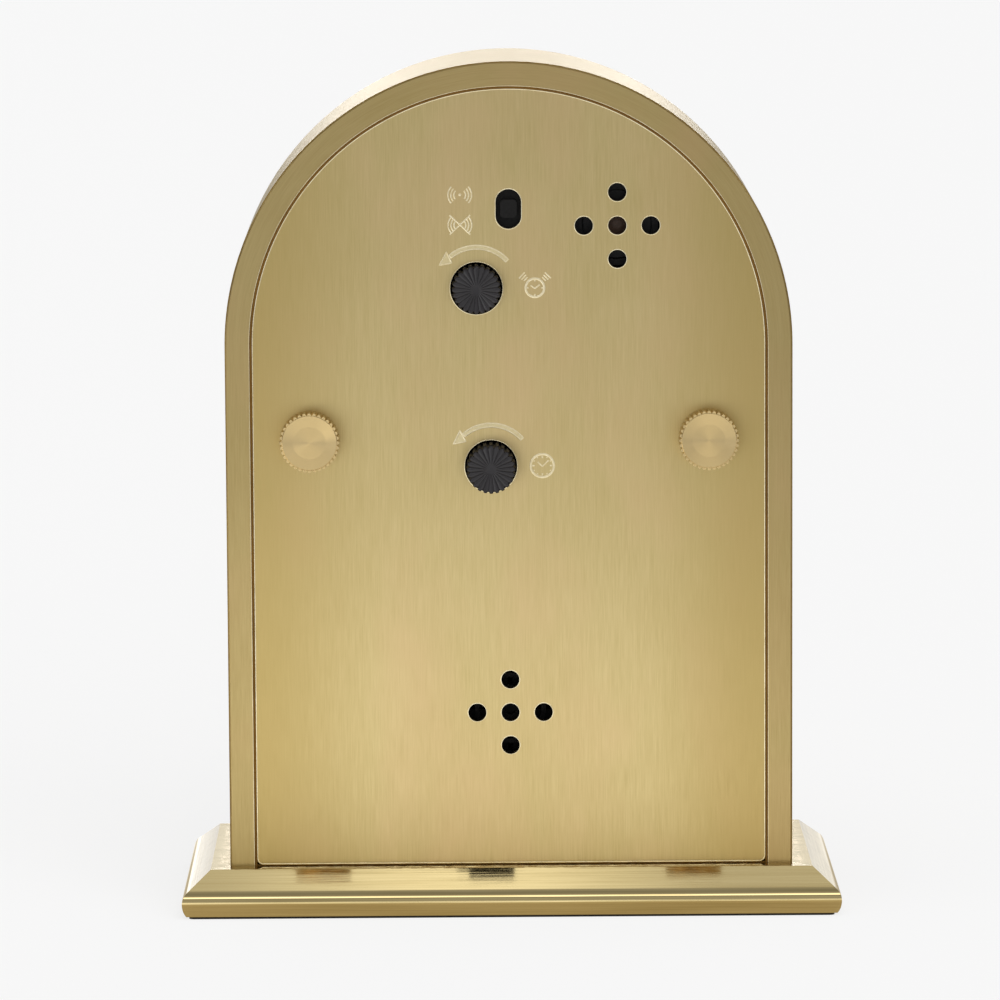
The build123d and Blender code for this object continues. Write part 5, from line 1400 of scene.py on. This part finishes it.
        strength = add(tree, "Mix", {0: camera, 2: lit, 3: 1.0}, data_type="FLOAT")
        light = add(tree, "Background", {"Color": colour, "Strength": strength})
        add(tree, "OutputWorld", {"Surface": light})
        return world

    def lamps(self, scene):
        """A wide soft lamp overhead, a weaker one from the camera's left and one for the dial."""
        for name, energy, spread, lean in LAMPS:
            lamp = bpy.data.lights.new(name, "SUN")
            lamp.energy = energy
            lamp.angle = math.radians(spread)
            made = bpy.data.objects.new(name, lamp)
            made.rotation_euler = tuple(math.radians(a) for a in lean)
            made.visible_glossy = False
            scene.collection.objects.link(made)

    def camera(self, scene, look):
        """The photograph's camera, from its place, turn, tilt and roll."""
        forward = Vector((
            -math.sin(look.yaw) * math.cos(look.pitch),
            -math.cos(look.yaw) * math.cos(look.pitch),
            -math.sin(look.pitch),
        ))
        right = Vector((-math.cos(look.yaw), math.sin(look.yaw), 0.0))
        up = right.cross(forward)
        across = right * math.cos(look.roll) + up * math.sin(look.roll)
        above = -right * math.sin(look.roll) + up * math.cos(look.roll)
        turn = Matrix((across, above, -forward)).transposed()
        lens = bpy.data.cameras.new("camera")
        lens.sensor_width = 36.0
        lens.lens = look.focal
        lens.clip_start, lens.clip_end = 0.05, 60.0
        camera = bpy.data.objects.new("camera", lens)
        camera.matrix_world = Matrix.Translation(Vector(look.place)) @ turn.to_4x4()
        scene.collection.objects.link(camera)
        scene.camera = camera


OPERATORS = (
    ClockFinishCasing,
    ClockFinishScrews,
    ClockFinishControls,
    ClockFinishMovement,
    ClockFinishDial,
    ClockRaiseSigns,
    ClockBreakEdges,
    ClockGuardSlot,
    ClockRibKnobs,
    ClockPrintDial,
    ClockSetStage,
)

GROUPS = {
    "clock_brass": ClockBrass,
    "clock_parts": ClockParts,
    "clock_signs": ClockSigns,
    "clock_edges": ClockEdges,
    "clock_dial": ClockDial,
    "clock_stage": ClockStage,
}


class CLOCK_PT_looks(bpy.types.Panel):
    """Lists the clock's finishes and pieces in the sidebar"""

    bl_idname = "CLOCK_PT_looks"
    bl_label = "Clock"
    bl_space_type = "VIEW_3D"
    bl_region_type = "UI"
    bl_category = "Clock"

    def draw(self, context):
        for operator in OPERATORS:
            self.layout.operator(operator.bl_idname)
        for name in GROUPS:
            group = getattr(context.scene, name)
            box = self.layout.box()
            for field in group.bl_rna.properties:
                if field.identifier not in ("rna_type", "name"):
                    box.prop(group, field.identifier)


def register():
    """Registers the properties, the operators and the panel."""
    for name, group in GROUPS.items():
        bpy.utils.register_class(group)
        setattr(bpy.types.Scene, name, PointerProperty(type=group))
    for made in (*OPERATORS, CLOCK_PT_looks):
        bpy.utils.register_class(made)


def unregister():
    """Removes the panel, the operators and the properties."""
    for made in (CLOCK_PT_looks, *reversed(OPERATORS)):
        bpy.utils.unregister_class(made)
    for name, group in reversed(GROUPS.items()):
        delattr(bpy.types.Scene, name)
        bpy.utils.unregister_class(group)


def main():
    """Builds every piece in order."""
    register()
    for operator in OPERATORS:
        group, call = operator.bl_idname.split(".")
        getattr(getattr(bpy.ops, group), call)()


if __name__ == "__main__":
    main()
